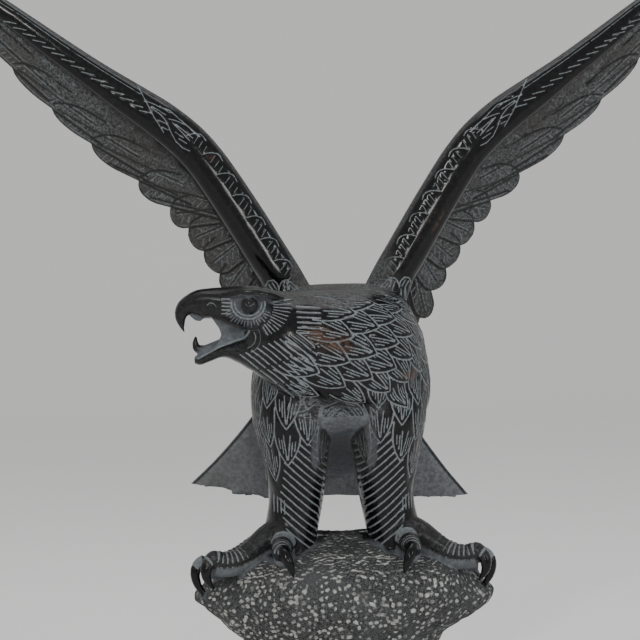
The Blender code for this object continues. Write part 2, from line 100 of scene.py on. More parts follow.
class Forms:
    """Closed shells gathered in one list of corners and faces."""

    def __init__(self):
        self.corners = []
        self.faces = []

    def add(self, corners, faces):
        start = len(self.corners)
        self.corners.extend(tuple(p) for p in corners)
        self.faces.extend(tuple(start + i for i in face) for face in faces)

    def loft(self, rings):
        """A skin over rings of equal count, closed by a fan at each end."""
        rings = [np.asarray(r, float) for r in rings]
        count = len(rings[0])
        corners = [p for r in rings for p in r]
        faces = []
        for k in range(len(rings) - 1):
            for i in range(count):
                j = (i + 1) % count
                faces.append((k * count + i, k * count + j, (k + 1) * count + j, (k + 1) * count + i))
        for k, turn in ((0, -1), (len(rings) - 1, 1)):
            middle = len(corners)
            corners.append(rings[k].mean(axis=0))
            for i in range(count):
                j = (i + 1) % count
                fan = (k * count + i, k * count + j, middle)
                faces.append(fan[::turn])
        self.add(corners, self.outward(corners, faces))

    @staticmethod
    def outward(corners, faces):
        """Turn the faces over if the shell they make is inside out."""
        volume = 0.0
        for face in faces:
            for i in range(1, len(face) - 1):
                a, b, c = (np.asarray(corners[face[0]]), np.asarray(corners[face[i]]),
                           np.asarray(corners[face[i + 1]]))
                volume += np.dot(a, np.cross(b, c))
        return faces if volume > 0 else [face[::-1] for face in faces]


def oval(middle, across, up, half_across, half_up, power=2.0, count=24):
    """A rounded loop in the plane of two directions; a higher power is more square."""
    angle = 2 * math.pi * np.arange(count * FINENESS) / (count * FINENESS)
    c, s = np.cos(angle), np.sin(angle)
    x = np.copysign(np.abs(c) ** (2 / power), c) * half_across
    y = np.copysign(np.abs(s) ** (2 / power), s) * half_up
    return np.asarray(middle, float) + np.outer(x, across) + np.outer(y, up)


def unit_vector(v):
    v = np.asarray(v, float)
    return v / max(np.linalg.norm(v), 1e-9)


def tube(forms, rows, count=14):
    """A rounded bar along rows of x, y, z and radius."""
    samples = sample_rows(rows, 5)
    points = [s[:3] for s in samples]
    up = np.array((0.0, 0.0, 1.0))
    rings = []
    for i, sample in enumerate(samples):
        ahead = unit_vector(points[min(i + 1, len(points) - 1)] - points[max(i - 1, 0)])
        side = np.cross(ahead, up)
        if np.linalg.norm(side) < 0.2:
            side = np.cross(ahead, (0.0, 1.0, 0.0))
        side = unit_vector(side)
        up = unit_vector(np.cross(side, ahead))
        radius = max(sample[3], 0.04)
        rings.append(oval(sample[:3], side, up, radius, radius, 2.0, count))
    forms.loft(rings)


def body(forms, rows, upright=True, power=2.2, count=40):
    """Level rings from rows of height, left, right, front, back, or sideways ones from x, low, high."""
    rings = []
    for place, low, high, front, back in sample_rows(rows, 4):
        half, middle = (high - low) / 2, (low + high) / 2
        half_y, middle_y = (back - front) / 2, (front + back) / 2
        if upright:
            rings.append(oval((middle, middle_y, place), (1, 0, 0), (0, 1, 0), half, half_y, power, count))
        else:
            rings.append(oval((place, middle_y, middle), (0, 1, 0), (0, 0, 1), half_y, half, power, count))
    forms.loft(rings)


# Body: height, left, right, front, back
TORSO = (
    (34.5, -3.4, 3.4, -1.5, 5.5),
    (33.8, -6.0, 6.0, -4.0, 7.6),
    (32.2, -8.4, 8.4, -6.6, 9.0),
    (29.0, -9.8, 9.8, -8.8, 9.8),
    (26.0, -10.6, 10.6, -9.6, 9.8),
    (22.5, -11.3, 11.1, -9.4, 9.6),
    (19.0, -11.2, 10.8, -8.4, 9.4),
    (16.6, -9.6, 9.0, -5.4, 9.6),
    (14.2, -7.0, 6.6, 0.4, 9.8),
    (11.5, -4.6, 4.2, 5.2, 10.6),
    (9.8, -2.6, 2.4, 8.0, 11.6),
)

# Neck and skull: x, low, high, front, back
NECK = (
    (10.4, 22.5, 28.0, -2.4, 3.0),
    (9.0, 20.6, 30.2, -6.4, 3.6),
    (7.0, 19.0, 31.8, -9.2, 3.2),
    (4.0, 18.3, 33.0, -11.4, 2.2),
    (0.5, 18.6, 33.5, -12.5, 1.0),
    (-3.0, 19.4, 33.6, -13.0, -0.8),
    (-6.8, 20.9, 33.5, -13.0, -2.6),
    (-9.2, 22.4, 33.9, -12.7, -4.0),
    (-11.0, 23.7, 34.3, -12.4, -5.2),
    (-11.9, 24.5, 34.3, -11.9, -5.9),
    (-12.4, 25.6, 33.8, -10.9, -6.9),
)
HEAD_PLANE = -8.9

# Beak, station by station: top x, top z, bottom x, bottom z, half width
UPPER_BEAK = (
    (-10.6, 34.3, -10.4, 28.9, 3.3),
    (-12.4, 34.35, -12.2, 29.2, 3.15),
    (-14.3, 34.25, -14.0, 29.85, 2.6),
    (-16.2, 34.15, -15.8, 30.45, 2.1),
    (-17.9, 33.95, -17.0, 30.55, 1.75),
    (-19.2, 33.3, -18.1, 31.15, 1.4),
    (-20.1, 32.5, -18.9, 30.95, 1.1),
    (-20.5, 31.5, -19.25, 30.5, 0.85),
    (-20.45, 30.5, -19.35, 30.0, 0.6),
    (-20.0, 29.6, -19.45, 29.5, 0.36),
    (-19.45, 28.85, -19.35, 28.95, 0.12),
)
LOWER_BEAK = (
    (-10.4, 28.9, -10.2, 23.6, 3.0),
    (-12.0, 28.3, -11.8, 24.3, 2.7),
    (-13.4, 27.8, -13.1, 25.1, 2.25),
    (-15.0, 27.25, -14.8, 25.8, 1.85),
    (-16.5, 26.75, -16.4, 25.35, 1.5),
    (-17.7, 26.35, -17.6, 24.95, 1.15),
    (-18.35, 25.9, -18.3, 25.15, 0.55),
)
TONGUE = (
    (-12.2, HEAD_PLANE, 27.9, 1.0),
    (-15.0, HEAD_PLANE, 27.2, 0.85),
    (-16.9, HEAD_PLANE, 26.75, 0.62),
    (-17.95, HEAD_PLANE, 26.95, 0.5),
    (-18.15, HEAD_PLANE, 27.7, 0.34),
    (-18.05, HEAD_PLANE, 28.45, 0.1),
)
# Skin across the back of the open mouth: x, z
MOUTH_SKIN = ((-11.0, 30.6), (-16.5, 31.2), (-15.8, 30.1), (-15.25, 29.3), (-15.0, 28.5),
              (-15.3, 27.8), (-16.0, 27.0), (-13.0, 27.0), (-11.0, 27.6))
MOUTH_SKIN_HALF = 1.35
# Roof of the mouth, seen below the beak's edge just behind its hook: x, z
PALATE = ((-19.0, 31.5), (-18.65, 30.8), (-18.1, 30.3), (-17.5, 30.2), (-17.0, 30.6), (-16.7, 31.3),
          (-17.6, 32.0))
PALATE_HALF = 0.55

EYE_X, EYE_Z, EYE_RADIUS, EYE_OUT = -11.6, 31.9, 1.15, 2.9
BROW = ((-15.0, 2.1, 33.1, 0.28), (-13.2, 2.95, 33.35, 0.42), (-11.4, 3.35, 33.5, 0.5),
        (-9.4, 3.55, 33.1, 0.42), (-7.6, 3.4, 32.5, 0.3))

# Left leg, from hip to ankle: height, left, right, front, back
LEG = (
    (27.0, -9.0, -3.8, -3.0, 4.0),
    (24.0, -10.7, -2.6, -6.8, 5.2),
    (20.5, -11.4, -1.6, -8.6, 6.0),
    (17.5, -11.2, -1.5, -8.9, 5.8),
    (14.2, -10.5, -1.9, -8.0, 4.8),
    (11.0, -9.9, -2.3, -6.9, 3.6),
    (8.2, -9.5, -2.7, -6.0, 2.8),
    (6.0, -9.8, -3.1, -5.6, 2.6),
    (4.0, -10.3, -3.5, -5.6, 2.8),
    (2.0, -10.9, -3.8, -5.8, 3.2),
    (-0.5, -10.8, -4.2, -5.6, 3.2),
)
# Each leg: the right one mirrored about the legs' middle
LEGS = (LEG, [(h, 2 * LEG_MIDDLE - right, 2 * LEG_MIDDLE - left, front, back)
              for h, left, right, front, back in LEG])
# Toes of the left foot: x, y, z, radius
TOES = (
    ((-7.4, -2.4, 4.1, 2.1), (-9.6, -3.8, 3.5, 1.75), (-11.8, -4.9, 2.2, 1.35),
     (-13.6, -5.7, 1.2, 1.15), (-15.4, -6.2, 1.05, 1.12), (-16.5, -6.5, 1.3, 1.12),
     (-17.2, -6.8, 0.9, 0.85)),
    ((-7.8, -0.8, 3.4, 1.9), (-10.6, -1.6, 2.6, 1.5), (-13.2, -2.3, 1.3, 1.2),
     (-15.6, -2.8, 0.5, 1.1), (-17.2, -3.1, 0.45, 1.05), (-18.2, -3.3, 0.5, 0.85)),
    ((-7.4, -3.0, 3.6, 2.0), (-7.9, -5.4, 3.2, 1.6), (-8.3, -7.4, 2.55, 1.25),
     (-8.4, -8.7, 2.3, 1.15), (-8.3, -9.5, 2.1, 0.85)),
    ((-7.2, 1.4, 3.0, 1.7), (-6.6, 4.0, 2.3, 1.3), (-6.3, 6.0, 1.5, 1.1), (-6.2, 7.2, 1.2, 0.8)),
)
# Stone left standing between a toe and the rock: how far below the toe, and its share of the width
WEB_DROP, WEB_SHARE = 1.0, 0.86
TALONS = (
    ((-16.6, -6.6, 1.35, 0.85), (-17.35, -7.1, 0.7, 0.78), (-17.55, -7.4, -0.4, 0.62),
     (-17.2, -7.4, -1.4, 0.4), (-16.6, -7.2, -2.2, 0.14)),
    ((-17.6, -3.2, 0.85, 0.8), (-18.45, -3.4, 0.35, 0.74), (-18.85, -3.5, -0.75, 0.6),
     (-18.6, -3.5, -2.0, 0.5), (-17.9, -3.4, -3.2, 0.35)),
    ((-8.4, -8.6, 2.5, 0.95), (-8.2, -9.9, 2.3, 0.85), (-7.8, -10.7, 1.4, 0.66),
     (-7.4, -10.8, 0.3, 0.42), (-7.15, -10.5, -0.6, 0.14)),
    ((-6.2, 6.6, 1.5, 0.8), (-6.1, 8.0, 1.2, 0.7), (-6.0, 8.9, 0.2, 0.5), (-6.0, 9.0, -1.0, 0.15)),
)

# Right wing's arm, from shoulder to tip: outer edge x and z, crease x and z, half thickness, y
ARM = (
    (2.0, 31.5, 7.6, 28.5, 2.6, 2.6),
    (4.6, 36.4, 9.3, 34.0, 2.6, 2.2),
    (6.4, 39.4, 11.1, 37.1, 2.4, 2.0),
    (9.3, 44.2, 13.8, 41.7, 2.2, 1.8),
    (12.5, 49.2, 17.1, 47.0, 2.05, 1.7),
    (14.5, 52.0, 18.9, 49.5, 1.95, 1.7),
    (16.8, 54.6, 21.0, 51.7, 1.85, 1.7),
    (20.2, 57.4, 23.9, 54.2, 1.6, 1.8),
    (24.3, 60.0, 27.6, 57.1, 1.4, 2.0),
    (28.8, 62.8, 31.1, 60.0, 1.25, 2.2),
    (33.2, 65.8, 35.0, 63.1, 1.15, 2.4),
    (37.6, 68.9, 39.0, 66.4, 1.05, 2.7),
    (42.2, 72.1, 43.2, 70.1, 0.9, 3.1),
    (46.0, 74.7, 46.5, 73.5, 0.7, 3.5),
    (48.0, 76.1, 48.1, 75.8, 0.35, 3.7),
)
# Notches between the feather ends along the right wing: x and z
NOTCHES = ((11.2, 28.4), (12.5, 33.0), (14.5, 36.1), (16.6, 39.5), (18.9, 42.6), (21.3, 45.5),
           (25.4, 49.2), (30.5, 53.6), (35.4, 58.1), (40.2, 63.2), (44.4, 68.6), (47.9, 75.0))
# How each feather lies: angle above level, share of its lobe past the axis, length of its end, length
FEATHERS = ((-74, 0.5, 2.2, 8.0), (-54, 0.5, 1.9, 9.0), (-36, 0.5, 1.8, 9.0), (-20, 0.5, 1.8, 9.0),
            (-4, 0.55, 1.9, 10.0), (17, 0.75, 3.2, 13.0), (27, 1.0, 4.6, 16.0), (32, 1.0, 5.0, 17.0),
            (37, 1.0, 5.4, 16.0), (43, 1.0, 5.6, 13.0), (52, 0.6, 5.0, 8.0))
FEATHER_THICKNESS = 0.62
FEATHER_RIM = 0.3
WEB_THICKNESS = 0.42
SWEEP_BACK = 0.78
SWEEP_START = 2.4
EDGE_DEPTH = 10.2

# Tail fan: height, left, right and the y of its middle
TAIL = (
    (23.0, -6.2, 5.6, 7.2),
    (19.4, -9.2, 8.3, 9.0),
    (15.2, -12.3, 11.3, 11.0),
    (11.1, -15.7, 14.5, 13.0),
    (7.6, -19.1, 17.6, 14.6),
)
TAIL_TILT = -0.068
TAIL_HALF_THICKNESS = 0.75
TAIL_FEATHERS = 9
TAIL_LOBE = 0.2
# Places across the tail as shares from the left, and how far its lower edge hangs there
TAIL_SAG_PLACES = (0.0, 0.1, 0.15, 0.3, 0.38, 0.5, 0.8, 0.92, 1.0)
TAIL_SAG = (0.0, 0.3, 1.1, 1.55, 1.4, 0.65, 0.45, 0.5, 0.0)

# Rock: height, half width, half depth, middle x, middle y
ROCK = (
    (ROCK_TOP, 3.0, 2.0, 1.6, 1.6),
    (2.6, 7.4, 4.8, 1.0, 1.0),
    (1.4, 11.4, 7.6, 0.4, 0.5),
    (0.0, 14.6, 9.4, 0.0, 0.1),
    (-1.6, 16.7, 10.3, -0.2, 0.0),
    (-3.8, 18.2, 11.0, -0.4, 0.0),
    (-5.2, 17.7, 10.8, -0.2, 0.0),
    (-7.2, 15.6, 9.9, -0.3, 0.0),
    (-9.4, 12.7, 8.7, -0.5, 0.0),
    (WAIST_LEVEL, 10.9, 7.9, -0.3, 0.0),
)
ROCK_LUMP = 0.55
ROCK_LUMP_SIZE = 5.5


def soft_body(forms):
    """Torso, neck and thighs, fused by themselves first so that they flow into each other."""
    soft = Forms()
    body(soft, TORSO)
    body(soft, NECK, upright=False, power=2.25)
    for rows in LEGS:
        body(soft, rows, power=2.1, count=30)
    skin = fused(soft, SOFT_VOXEL, SOFT_ROUNDS)
    forms.add([tuple(v.co) for v in skin.vertices], [tuple(p.vertices) for p in skin.polygons])
    bpy.data.meshes.remove(skin)


def head(forms):
    """Open hooked beak, tongue, eyes and brows, on the end of the neck."""
    for table in (UPPER_BEAK, LOWER_BEAK):
        rings = []
        for top_x, top_z, low_x, low_z, half in sample_rows(table, 4):
            middle = ((top_x + low_x) / 2, HEAD_PLANE, (top_z + low_z) / 2)
            up = np.array((top_x - low_x, 0.0, top_z - low_z))
            rings.append(oval(middle, (0, 1, 0), unit_vector(up), half, np.linalg.norm(up) / 2,
                              2.3, 24))
        forms.loft(rings)
    tube(forms, TONGUE, count=12)
    for outline, half in ((MOUTH_SKIN, MOUTH_SKIN_HALF), (PALATE, PALATE_HALF)):
        forms.loft([[(x, HEAD_PLANE + side * half, z) for x, z in outline] for side in (-1, 1)])
    for side in (-1, 1):
        eye = (EYE_X, HEAD_PLANE + side * EYE_OUT, EYE_Z)
        ball(forms, eye, EYE_RADIUS)
        tube(forms, [(x, HEAD_PLANE + side * out, z, r) for x, out, z, r in BROW], count=10)


def ball(forms, middle, radius):
    rings = []
    for i in range(1, 12):
        angle = math.pi * i / 12
        level = (middle[0], middle[1], middle[2] + radius * math.cos(angle))
        ring_radius = radius * math.sin(angle)
        rings.append(oval(level, (1, 0, 0), (0, 1, 0), ring_radius, ring_radius, 2.0, 16))
    forms.loft(rings)


def on_both_feet(tables):
    """Each table of rows as it is, then mirrored about the legs' middle."""
    for rows in tables:
        yield rows
        yield [(2 * LEG_MIDDLE - row[0],) + tuple(row[1:]) for row in rows]


def web_below(rows):
    """Rows of the stone left standing between a toe and the rock."""
    return [(x, y, z - WEB_DROP, r * WEB_SHARE) for x, y, z, r in rows[:-1]]


def feet(forms):
    """Four toes and talons a foot, and the webs under the toes."""
    for rows in on_both_feet(TOES + TALONS + tuple(web_below(toe) for toe in TOES)):
        tube(forms, rows)


def wing_depth(x, z, edge):
    """How far back the wing's sheet lies at places: it sweeps back from the arm's outer edge."""
    place = np.stack([np.asarray(x), np.asarray(z)], axis=-1)[:, None, :]
    run = edge[1:] - edge[:-1]
    part = np.clip(((place - edge[:-1]) * run).sum(axis=-1) / (run * run).sum(axis=-1), 0.0, 1.0)
    away = np.linalg.norm(place - edge[:-1] - part[..., None] * run, axis=-1).min(axis=1)
    return np.minimum(SWEEP_START + SWEEP_BACK * away, EDGE_DEPTH)


def wing(forms, side):
    """One wing: the rounded arm, the web behind it and its row of long feathers."""
    arm = sample_rows(ARM, 3)
    edge = np.array([(row[0], row[1]) for row in sample_rows(ARM, 2)])
    rings = []
    for outer_x, outer_z, crease_x, crease_z, half, y in arm:
        across = np.array((outer_x - crease_x, 0.0, outer_z - crease_z))
        middle = ((outer_x + crease_x) / 2 * side, y, (outer_z + crease_z) / 2)
        flat = unit_vector(across) * (side, 1, 1)
        rings.append(oval(middle, flat, (0, 1, 0), np.linalg.norm(across) / 2, half, 2.3, 22))
    forms.loft(rings)

    # Web from the middle of the arm to just inside the notches
    rings = []
    steps = 40 * FINENESS
    out = np.linspace(0.0, 1.0, 9)
    for i in range(steps + 1):
        share = i / steps
        arm_row = smooth_row(ARM, 1 + share * (len(ARM) - 2))
        notch = smooth_row(NOTCHES, share * (len(NOTCHES) - 1))
        start = np.array((0.6 * arm_row[0] + 0.4 * arm_row[2], 0.6 * arm_row[1] + 0.4 * arm_row[3]))
        end = start + (notch - start) * 0.93
        x = start[0] + (end[0] - start[0]) * out
        z = start[1] + (end[1] - start[1]) * out
        depth = wing_depth(x, z, edge)
        near_face = np.stack([x * side, depth - WEB_THICKNESS, z], axis=1)
        far_face = np.stack([x * side, depth + WEB_THICKNESS, z], axis=1)[::-1]
        rings.append(np.concatenate([near_face, far_face]))
    forms.loft(rings)

    for number in range(len(FEATHERS)):
        feather(forms, side, number, edge)


def feather_axis(number):
    """A long feather's tip, its ways along and across in the front plane, and its half width."""
    angle, lobe = FEATHERS[number][:2]
    near, far = np.array(NOTCHES[number]), np.array(NOTCHES[number + 1])
    turn = math.radians(angle)
    along = np.array((math.cos(turn), math.sin(turn)))
    across = np.array((math.sin(turn), -math.cos(turn)))
    half = abs(np.dot(far - near, across)) * lobe + 0.3
    tip = near + (far - near) * lobe + along * (0.8 - 0.55 * (lobe - 0.5) * 2)
    return tip, along, across, half


def feather(forms, side, number, edge):
    """One long wing feather as a thin rounded blade, from under the arm to its own lobe."""
    tip, along, across, half = feather_axis(number)
    end_length, length = FEATHERS[number][2:]
    sweep = np.linspace(-1.0, 1.0, 8 * FINENESS + 1)
    sweep = np.concatenate([sweep, sweep[::-1]])
    face = np.repeat((-1.0, 1.0), 8 * FINENESS + 1)
    bulge = FEATHER_RIM + (FEATHER_THICKNESS - FEATHER_RIM) * np.sqrt(1 - sweep ** 2 * 0.98)
    rings = []
    steps = 26 * FINENESS
    for i in range(steps + 1):
        back = (1.0 - i / steps) ** 1.25 * length
        rounding = min(back / end_length, 1.0)
        width = half * math.sqrt(max(1.0 - (1.0 - rounding) ** 2, 0.002))
        width *= 0.72 + 0.28 * min(1.0, (length - back) / (0.5 * length) + 0.2)
        place = tip - along * back
        x = place[0] + across[0] * sweep * width
        z = place[1] + across[1] * sweep * width
        depth = wing_depth(x, z, edge) + 0.34 * sweep + face * bulge
        rings.append(np.stack([x * side, depth, z], axis=1))
    forms.loft(rings)


def tail(forms):
    """Fan of broad tail feathers: smooth in front, divided behind and lobed at its lower edge."""
    columns = TAIL_FEATHERS * 10
    rings = []
    rows = sample_rows(TAIL, 4)
    for index, (height, left, right, y) in enumerate(rows):
        reach = index / (len(rows) - 1)
        front, back = [], []
        for i in range(columns + 1):
            share = i / columns
            x = left + (right - left) * share
            lobe = math.sin(math.pi * share * TAIL_FEATHERS) ** 2
            sag = float(np.interp(share, TAIL_SAG_PLACES, TAIL_SAG))
            low = height + TAIL_TILT * x - reach ** 3 * (TAIL_LOBE * lobe + sag)
            cup = 1.1 * (2 * share - 1) ** 2 * reach
            ridge = 0.22 * lobe * reach
            rim = TAIL_HALF_THICKNESS * (1.0 - 0.45 * abs(2 * share - 1) ** 3)
            front.append((x, y - cup - rim, low))
            back.append((x, y - cup + rim + ridge, low))
        rings.append(front + back[::-1])
    forms.loft(rings)


def rock_ring(height, half_width, half_depth, middle_x, middle_y, lump, count=72):
    loop = []
    for place in oval((middle_x, middle_y, height), (1, 0, 0), (0, 1, 0), half_width, half_depth,
                      2.15, count):
        bump = noise.noise(Vector(place) / ROCK_LUMP_SIZE + Vector((3.1, 0.4, 7.7)))
        bump += 0.45 * noise.noise(Vector(place) / (0.42 * ROCK_LUMP_SIZE))
        outward = unit_vector((place[0] - middle_x, place[1] - middle_y, 0.0))
        loop.append(place + outward * bump * lump * 2 + np.array((0, 0, bump * lump * 0.6)))
    return loop


def rock_and_base(forms):
    """The rough rock under the feet, its waist, and the low hewn base that it stands on."""
    rings = [rock_ring(*row, ROCK_LUMP) for row in sample_rows(ROCK, 3)]
    waist_width, waist_depth = ROCK[-1][1], ROCK[-1][2]
    foot_width, foot_depth = BASE_WIDTH / 2 / UNIT, BASE_DEPTH / 2 / UNIT
    drop = BASE_HEIGHT / UNIT
    # Share of the drop, and share of the way from the waist to the foot
    for down, out in ((0.14, 0.04), (0.3, 0.2), (0.46, 0.52), (0.6, 0.8), (0.74, 0.95), (0.9, 1.0),
                      (1.0, 1.0)):
        lump = ROCK_LUMP * (1.0 - out) + 0.18 * out * (down < 0.8)
        rings.append(rock_ring(WAIST_LEVEL - drop * down, waist_width + (foot_width - waist_width) * out,
                               waist_depth + (foot_depth - waist_depth) * out,
                               -0.3 * (1 - out), 0.0, lump if down < 1.0 else 0.0))
    floor = WAIST_LEVEL - drop
    rings[-1] = [np.array((p[0], p[1], floor)) for p in rings[-1]]
    forms.loft(rings)


def gather_forms():
    """Every form of the carving, in units from the level of the feet."""
    forms = Forms()
    soft_body(forms)
    head(forms)
    feet(forms)
    for side in (-1, 1):
        wing(forms, side)
    tail(forms)
    rock_and_base(forms)
    return forms


def fused(forms, voxel, rounds):
    """One closed skin around all the forms, smoothed."""
    rough = bpy.data.meshes.new("rough_forms")
    rough.from_pydata(forms.corners, [], forms.faces)
    rough.update()
    worker = in_scene("rough_forms", rough)
    fuse = worker.modifiers.new("fuse", "REMESH")
    fuse.mode = "VOXEL"
    fuse.voxel_size = voxel
    fuse.adaptivity = 0.0
    even = worker.modifiers.new("even", "SMOOTH")
    even.factor = 0.5
    even.iterations = rounds
    return evaluated(worker)


def in_scene(name, data):
    """A new object in the scene."""
    thing = bpy.data.objects.new(name, data)
    bpy.context.scene.collection.objects.link(thing)
    return thing


def evaluated(worker):
    """The mesh that an object's modifiers make; the object is removed."""
    bpy.context.view_layer.update()
    state = bpy.context.evaluated_depsgraph_get()
    mesh = bpy.data.meshes.new_from_object(worker.evaluated_get(state))
    bpy.data.objects.remove(worker, do_unlink=True)
    return mesh


def keep_main_skin(mesh_data):
    """Drop any loose or inner scrap, so that the stone is one closed skin."""
    groups = []
    waiting = set(mesh_data.faces)
    while waiting:
        group = [waiting.pop()]
        for face in group:
            for edge in face.edges:
                for other in edge.link_faces:
                    if other in waiting:
                        waiting.discard(other)
                        group.append(other)
        groups.append(group)
    groups.sort(key=len, reverse=True)
    scraps = [face for group in groups[1:] for face in group]
    if scraps:
        bmesh.ops.delete(mesh_data, geom=scraps, context="FACES")


SEED = 7
# Marks that each corner of the skin can carry, and sizes of the cells that sort corners and pecks
MARKS = ("line", "dark", "matt", "honed", "rocky", "peck", "stain")
CELL, PECK_CELL = 1.2, 0.8
SKIN_TRIANGLES = 194000
# Half widths of cut lines, depths of cut lines and of grooves filled with painted shade, and how far a
# scale's tip stands up
LINE_HALF = 0.1
FINE_HALF = LINE_HALF * 0.8
LINE_DEPTH = 0.07
GROOVE_DEPTH = 0.1
SCALE_RISE = 0.06
# How many times the relief is drawn out while the skin is thinned
DRAWN_OUT = 2.6
# Steps along a long feather's barbs, an arm's covert feathers and a toe's scutes
BARB_PITCH = 0.85
COVERT_PITCH = 3.2
SCUTE_PITCH = 0.62
# How many covert feathers each arm has
COVERTS = 8
# How far along a toe its scutes begin, and where they are full
SCUTES_BEGIN, SCUTES_FULL = 2.6, 3.1
# Radii that scales are wrapped round, and how far apart a thigh's scales stand around it and up it
BODY_RADIUS = 10.0
THIGH_RADIUS = 4.1
THIGH_WIDTH = 3.0
THIGH_PITCH = 2.25
# Lengths and widths of the pointed scales
THIGH_LENGTH = 4.9
BACK_LENGTH, BACK_WIDTH = 4.3, 3.1
CHEST_LENGTH, CHEST_WIDTH = 5.2, 3.75
# How many short strokes the belly and each wing's sheet get, and how many places are tried for pecks
BELLY_STROKES = 190
SHEET_STROKES = 420
PECK_TRIES = 60000
# Size of the patches where pecks lie closer or wider
PATCH_SIZE = 3.1
# How far outside the body a ray starts that looks for its skin
RAY_START = 26.0
# Front to back: the middle of the wings' sheets and of the tail, and how far lines reach to each side
SHEET_Y, SHEET_REACH = 9.6, 5.6
TAIL_Y, TAIL_REACH = 13.0, 5.0
# Half sizes of the ring round the eye, and its middle
RING_WIDE, RING_HIGH = 2.0, 1.85
RING_X, RING_Z = EYE_X - 0.2, EYE_Z + 0.25


class Nearby:
    """Finds the corners within reach of a place, by sorting them into cells."""

    def __init__(self, places, cell):
        self.places = places
        self.cell = cell
        self.low = places.min(axis=0)
        cells = ((places - self.low) // cell).astype(np.int64)
        self.size = cells.max(axis=0) + 2
        key = (cells[:, 0] * self.size[1] + cells[:, 1]) * self.size[2] + cells[:, 2]
        self.order = np.argsort(key, kind="stable")
        self.key = key[self.order]

    def find(self, middle, reach):
        middle = np.asarray(middle, float)
        first = np.clip(((middle - reach - self.low) // self.cell).astype(int), 0, self.size - 1)
        last = np.clip(((middle + reach - self.low) // self.cell).astype(int), 0, self.size - 1)
        i, j = np.meshgrid(np.arange(first[0], last[0] + 1), np.arange(first[1], last[1] + 1))
        row = (i.ravel() * self.size[1] + j.ravel()) * self.size[2]
        starts = np.searchsorted(self.key, row + first[2])
        ends = np.searchsorted(self.key, row + last[2] + 1)
        runs = [self.order[a:b] for a, b in zip(starts, ends) if b > a]
        if not runs:
            return np.zeros(0, int)
        found = np.concatenate(runs)
        away = self.places[found] - middle
        return found[(away * away).sum(axis=1) < reach * reach]


def ease(value, low, high):
    """0 below low, 1 above high and a smooth step between; low may be the larger."""
    share = np.clip((value - low) / (high - low), 0.0, 1.0)
    return share * share * (3 - 2 * share)


def line_distance(u, v, points):
    """Distance in a plane from places u, v to a line through points."""
    best = np.full(len(u), 1e9)
    for (au, av), (bu, bv) in zip(points[:-1], points[1:]):
        ru, rv = bu - au, bv - av
        share = np.clip(((u - au) * ru + (v - av) * rv) / max(ru * ru + rv * rv, 1e-9), 0.0, 1.0)
        best = np.minimum(best, np.hypot(u - au - ru * share, v - av - rv * share))
    return best


class Carving:
    """The skin's corners with what the chisel and the polish leave on each."""

    def __init__(self, skin, tree):
        count = len(skin.vertices)
        flat = np.empty(count * 3, np.float32)
        skin.vertices.foreach_get("co", flat)
        self.place = flat.reshape(-1, 3).astype(float)
        skin.vertex_normals.foreach_get("vector", flat)
        self.facing = flat.reshape(-1, 3).astype(float)
        self.tree = tree
        self.near = Nearby(self.place, CELL)
        self.flat = Nearby(self.place * (1.0, 0.0, 1.0), CELL)
        self.rise = np.zeros(count)
        for name in MARKS:
            setattr(self, name, np.zeros(count))

    def more(self, name, amount, where=slice(None)):
        """Raise a mark to an amount where it is below it."""
        values = getattr(self, name)
        values[where] = np.maximum(values[where], amount)

    def patch(self, middle, along, face, reach, depth=1.2, least_facing=0.25):
        """Corners near a place that face its way, with their places along and across it."""
        along, face = unit_vector(along), unit_vector(face)
        along = unit_vector(along - face * np.dot(along, face))
        across = np.cross(face, along)
        found = self.near.find(middle, reach)
        away = self.place[found] - np.asarray(middle)
        keep = (np.abs(away @ face) < depth) & (self.facing[found] @ face > least_facing)
        found, away = found[keep], away[keep]
        return found, away @ along, away @ across

    def draw(self, found, u, v, points, half=LINE_HALF, strength=1.0):
        """Cut a line through points of a patch's plane."""
        if len(found) > 0:
            away = line_distance(u, v, points)
            self.more("line", ease(away, half * 1.35, half * 0.45) * strength, found)

    def cut(self, points, side, half=LINE_HALF, depth=5.0, middle_y=0.0, strength=1.0, least_facing=0.12,
            dark=False):
        """Cut a line, or a groove filled with painted shade, given by x and z into what faces the front (side
        -1) or back (side 1).
        """
        points = np.asarray(points, float)
        low, high = points.min(axis=0), points.max(axis=0)
        reach = np.hypot(*(high - low)) / 2 + 4 * half
        found = self.behind((low + high) / 2, reach)
        found = found[(self.facing[found, 1] * side > least_facing)
                      & (np.abs(self.place[found, 1] - middle_y) < depth)]
        u, v = self.place[found, 0], self.place[found, 2]
        if dark:
            self.more("dark", ease(line_distance(u, v, points), half * 1.4, half * 0.5) * strength, found)
        else:
            self.draw(found, u, v, points, half, strength)

    def behind(self, middle, reach):
        """Corners within reach of a place in the front plane, at any depth."""
        return self.flat.find((middle[0], 0.0, middle[1]), reach)


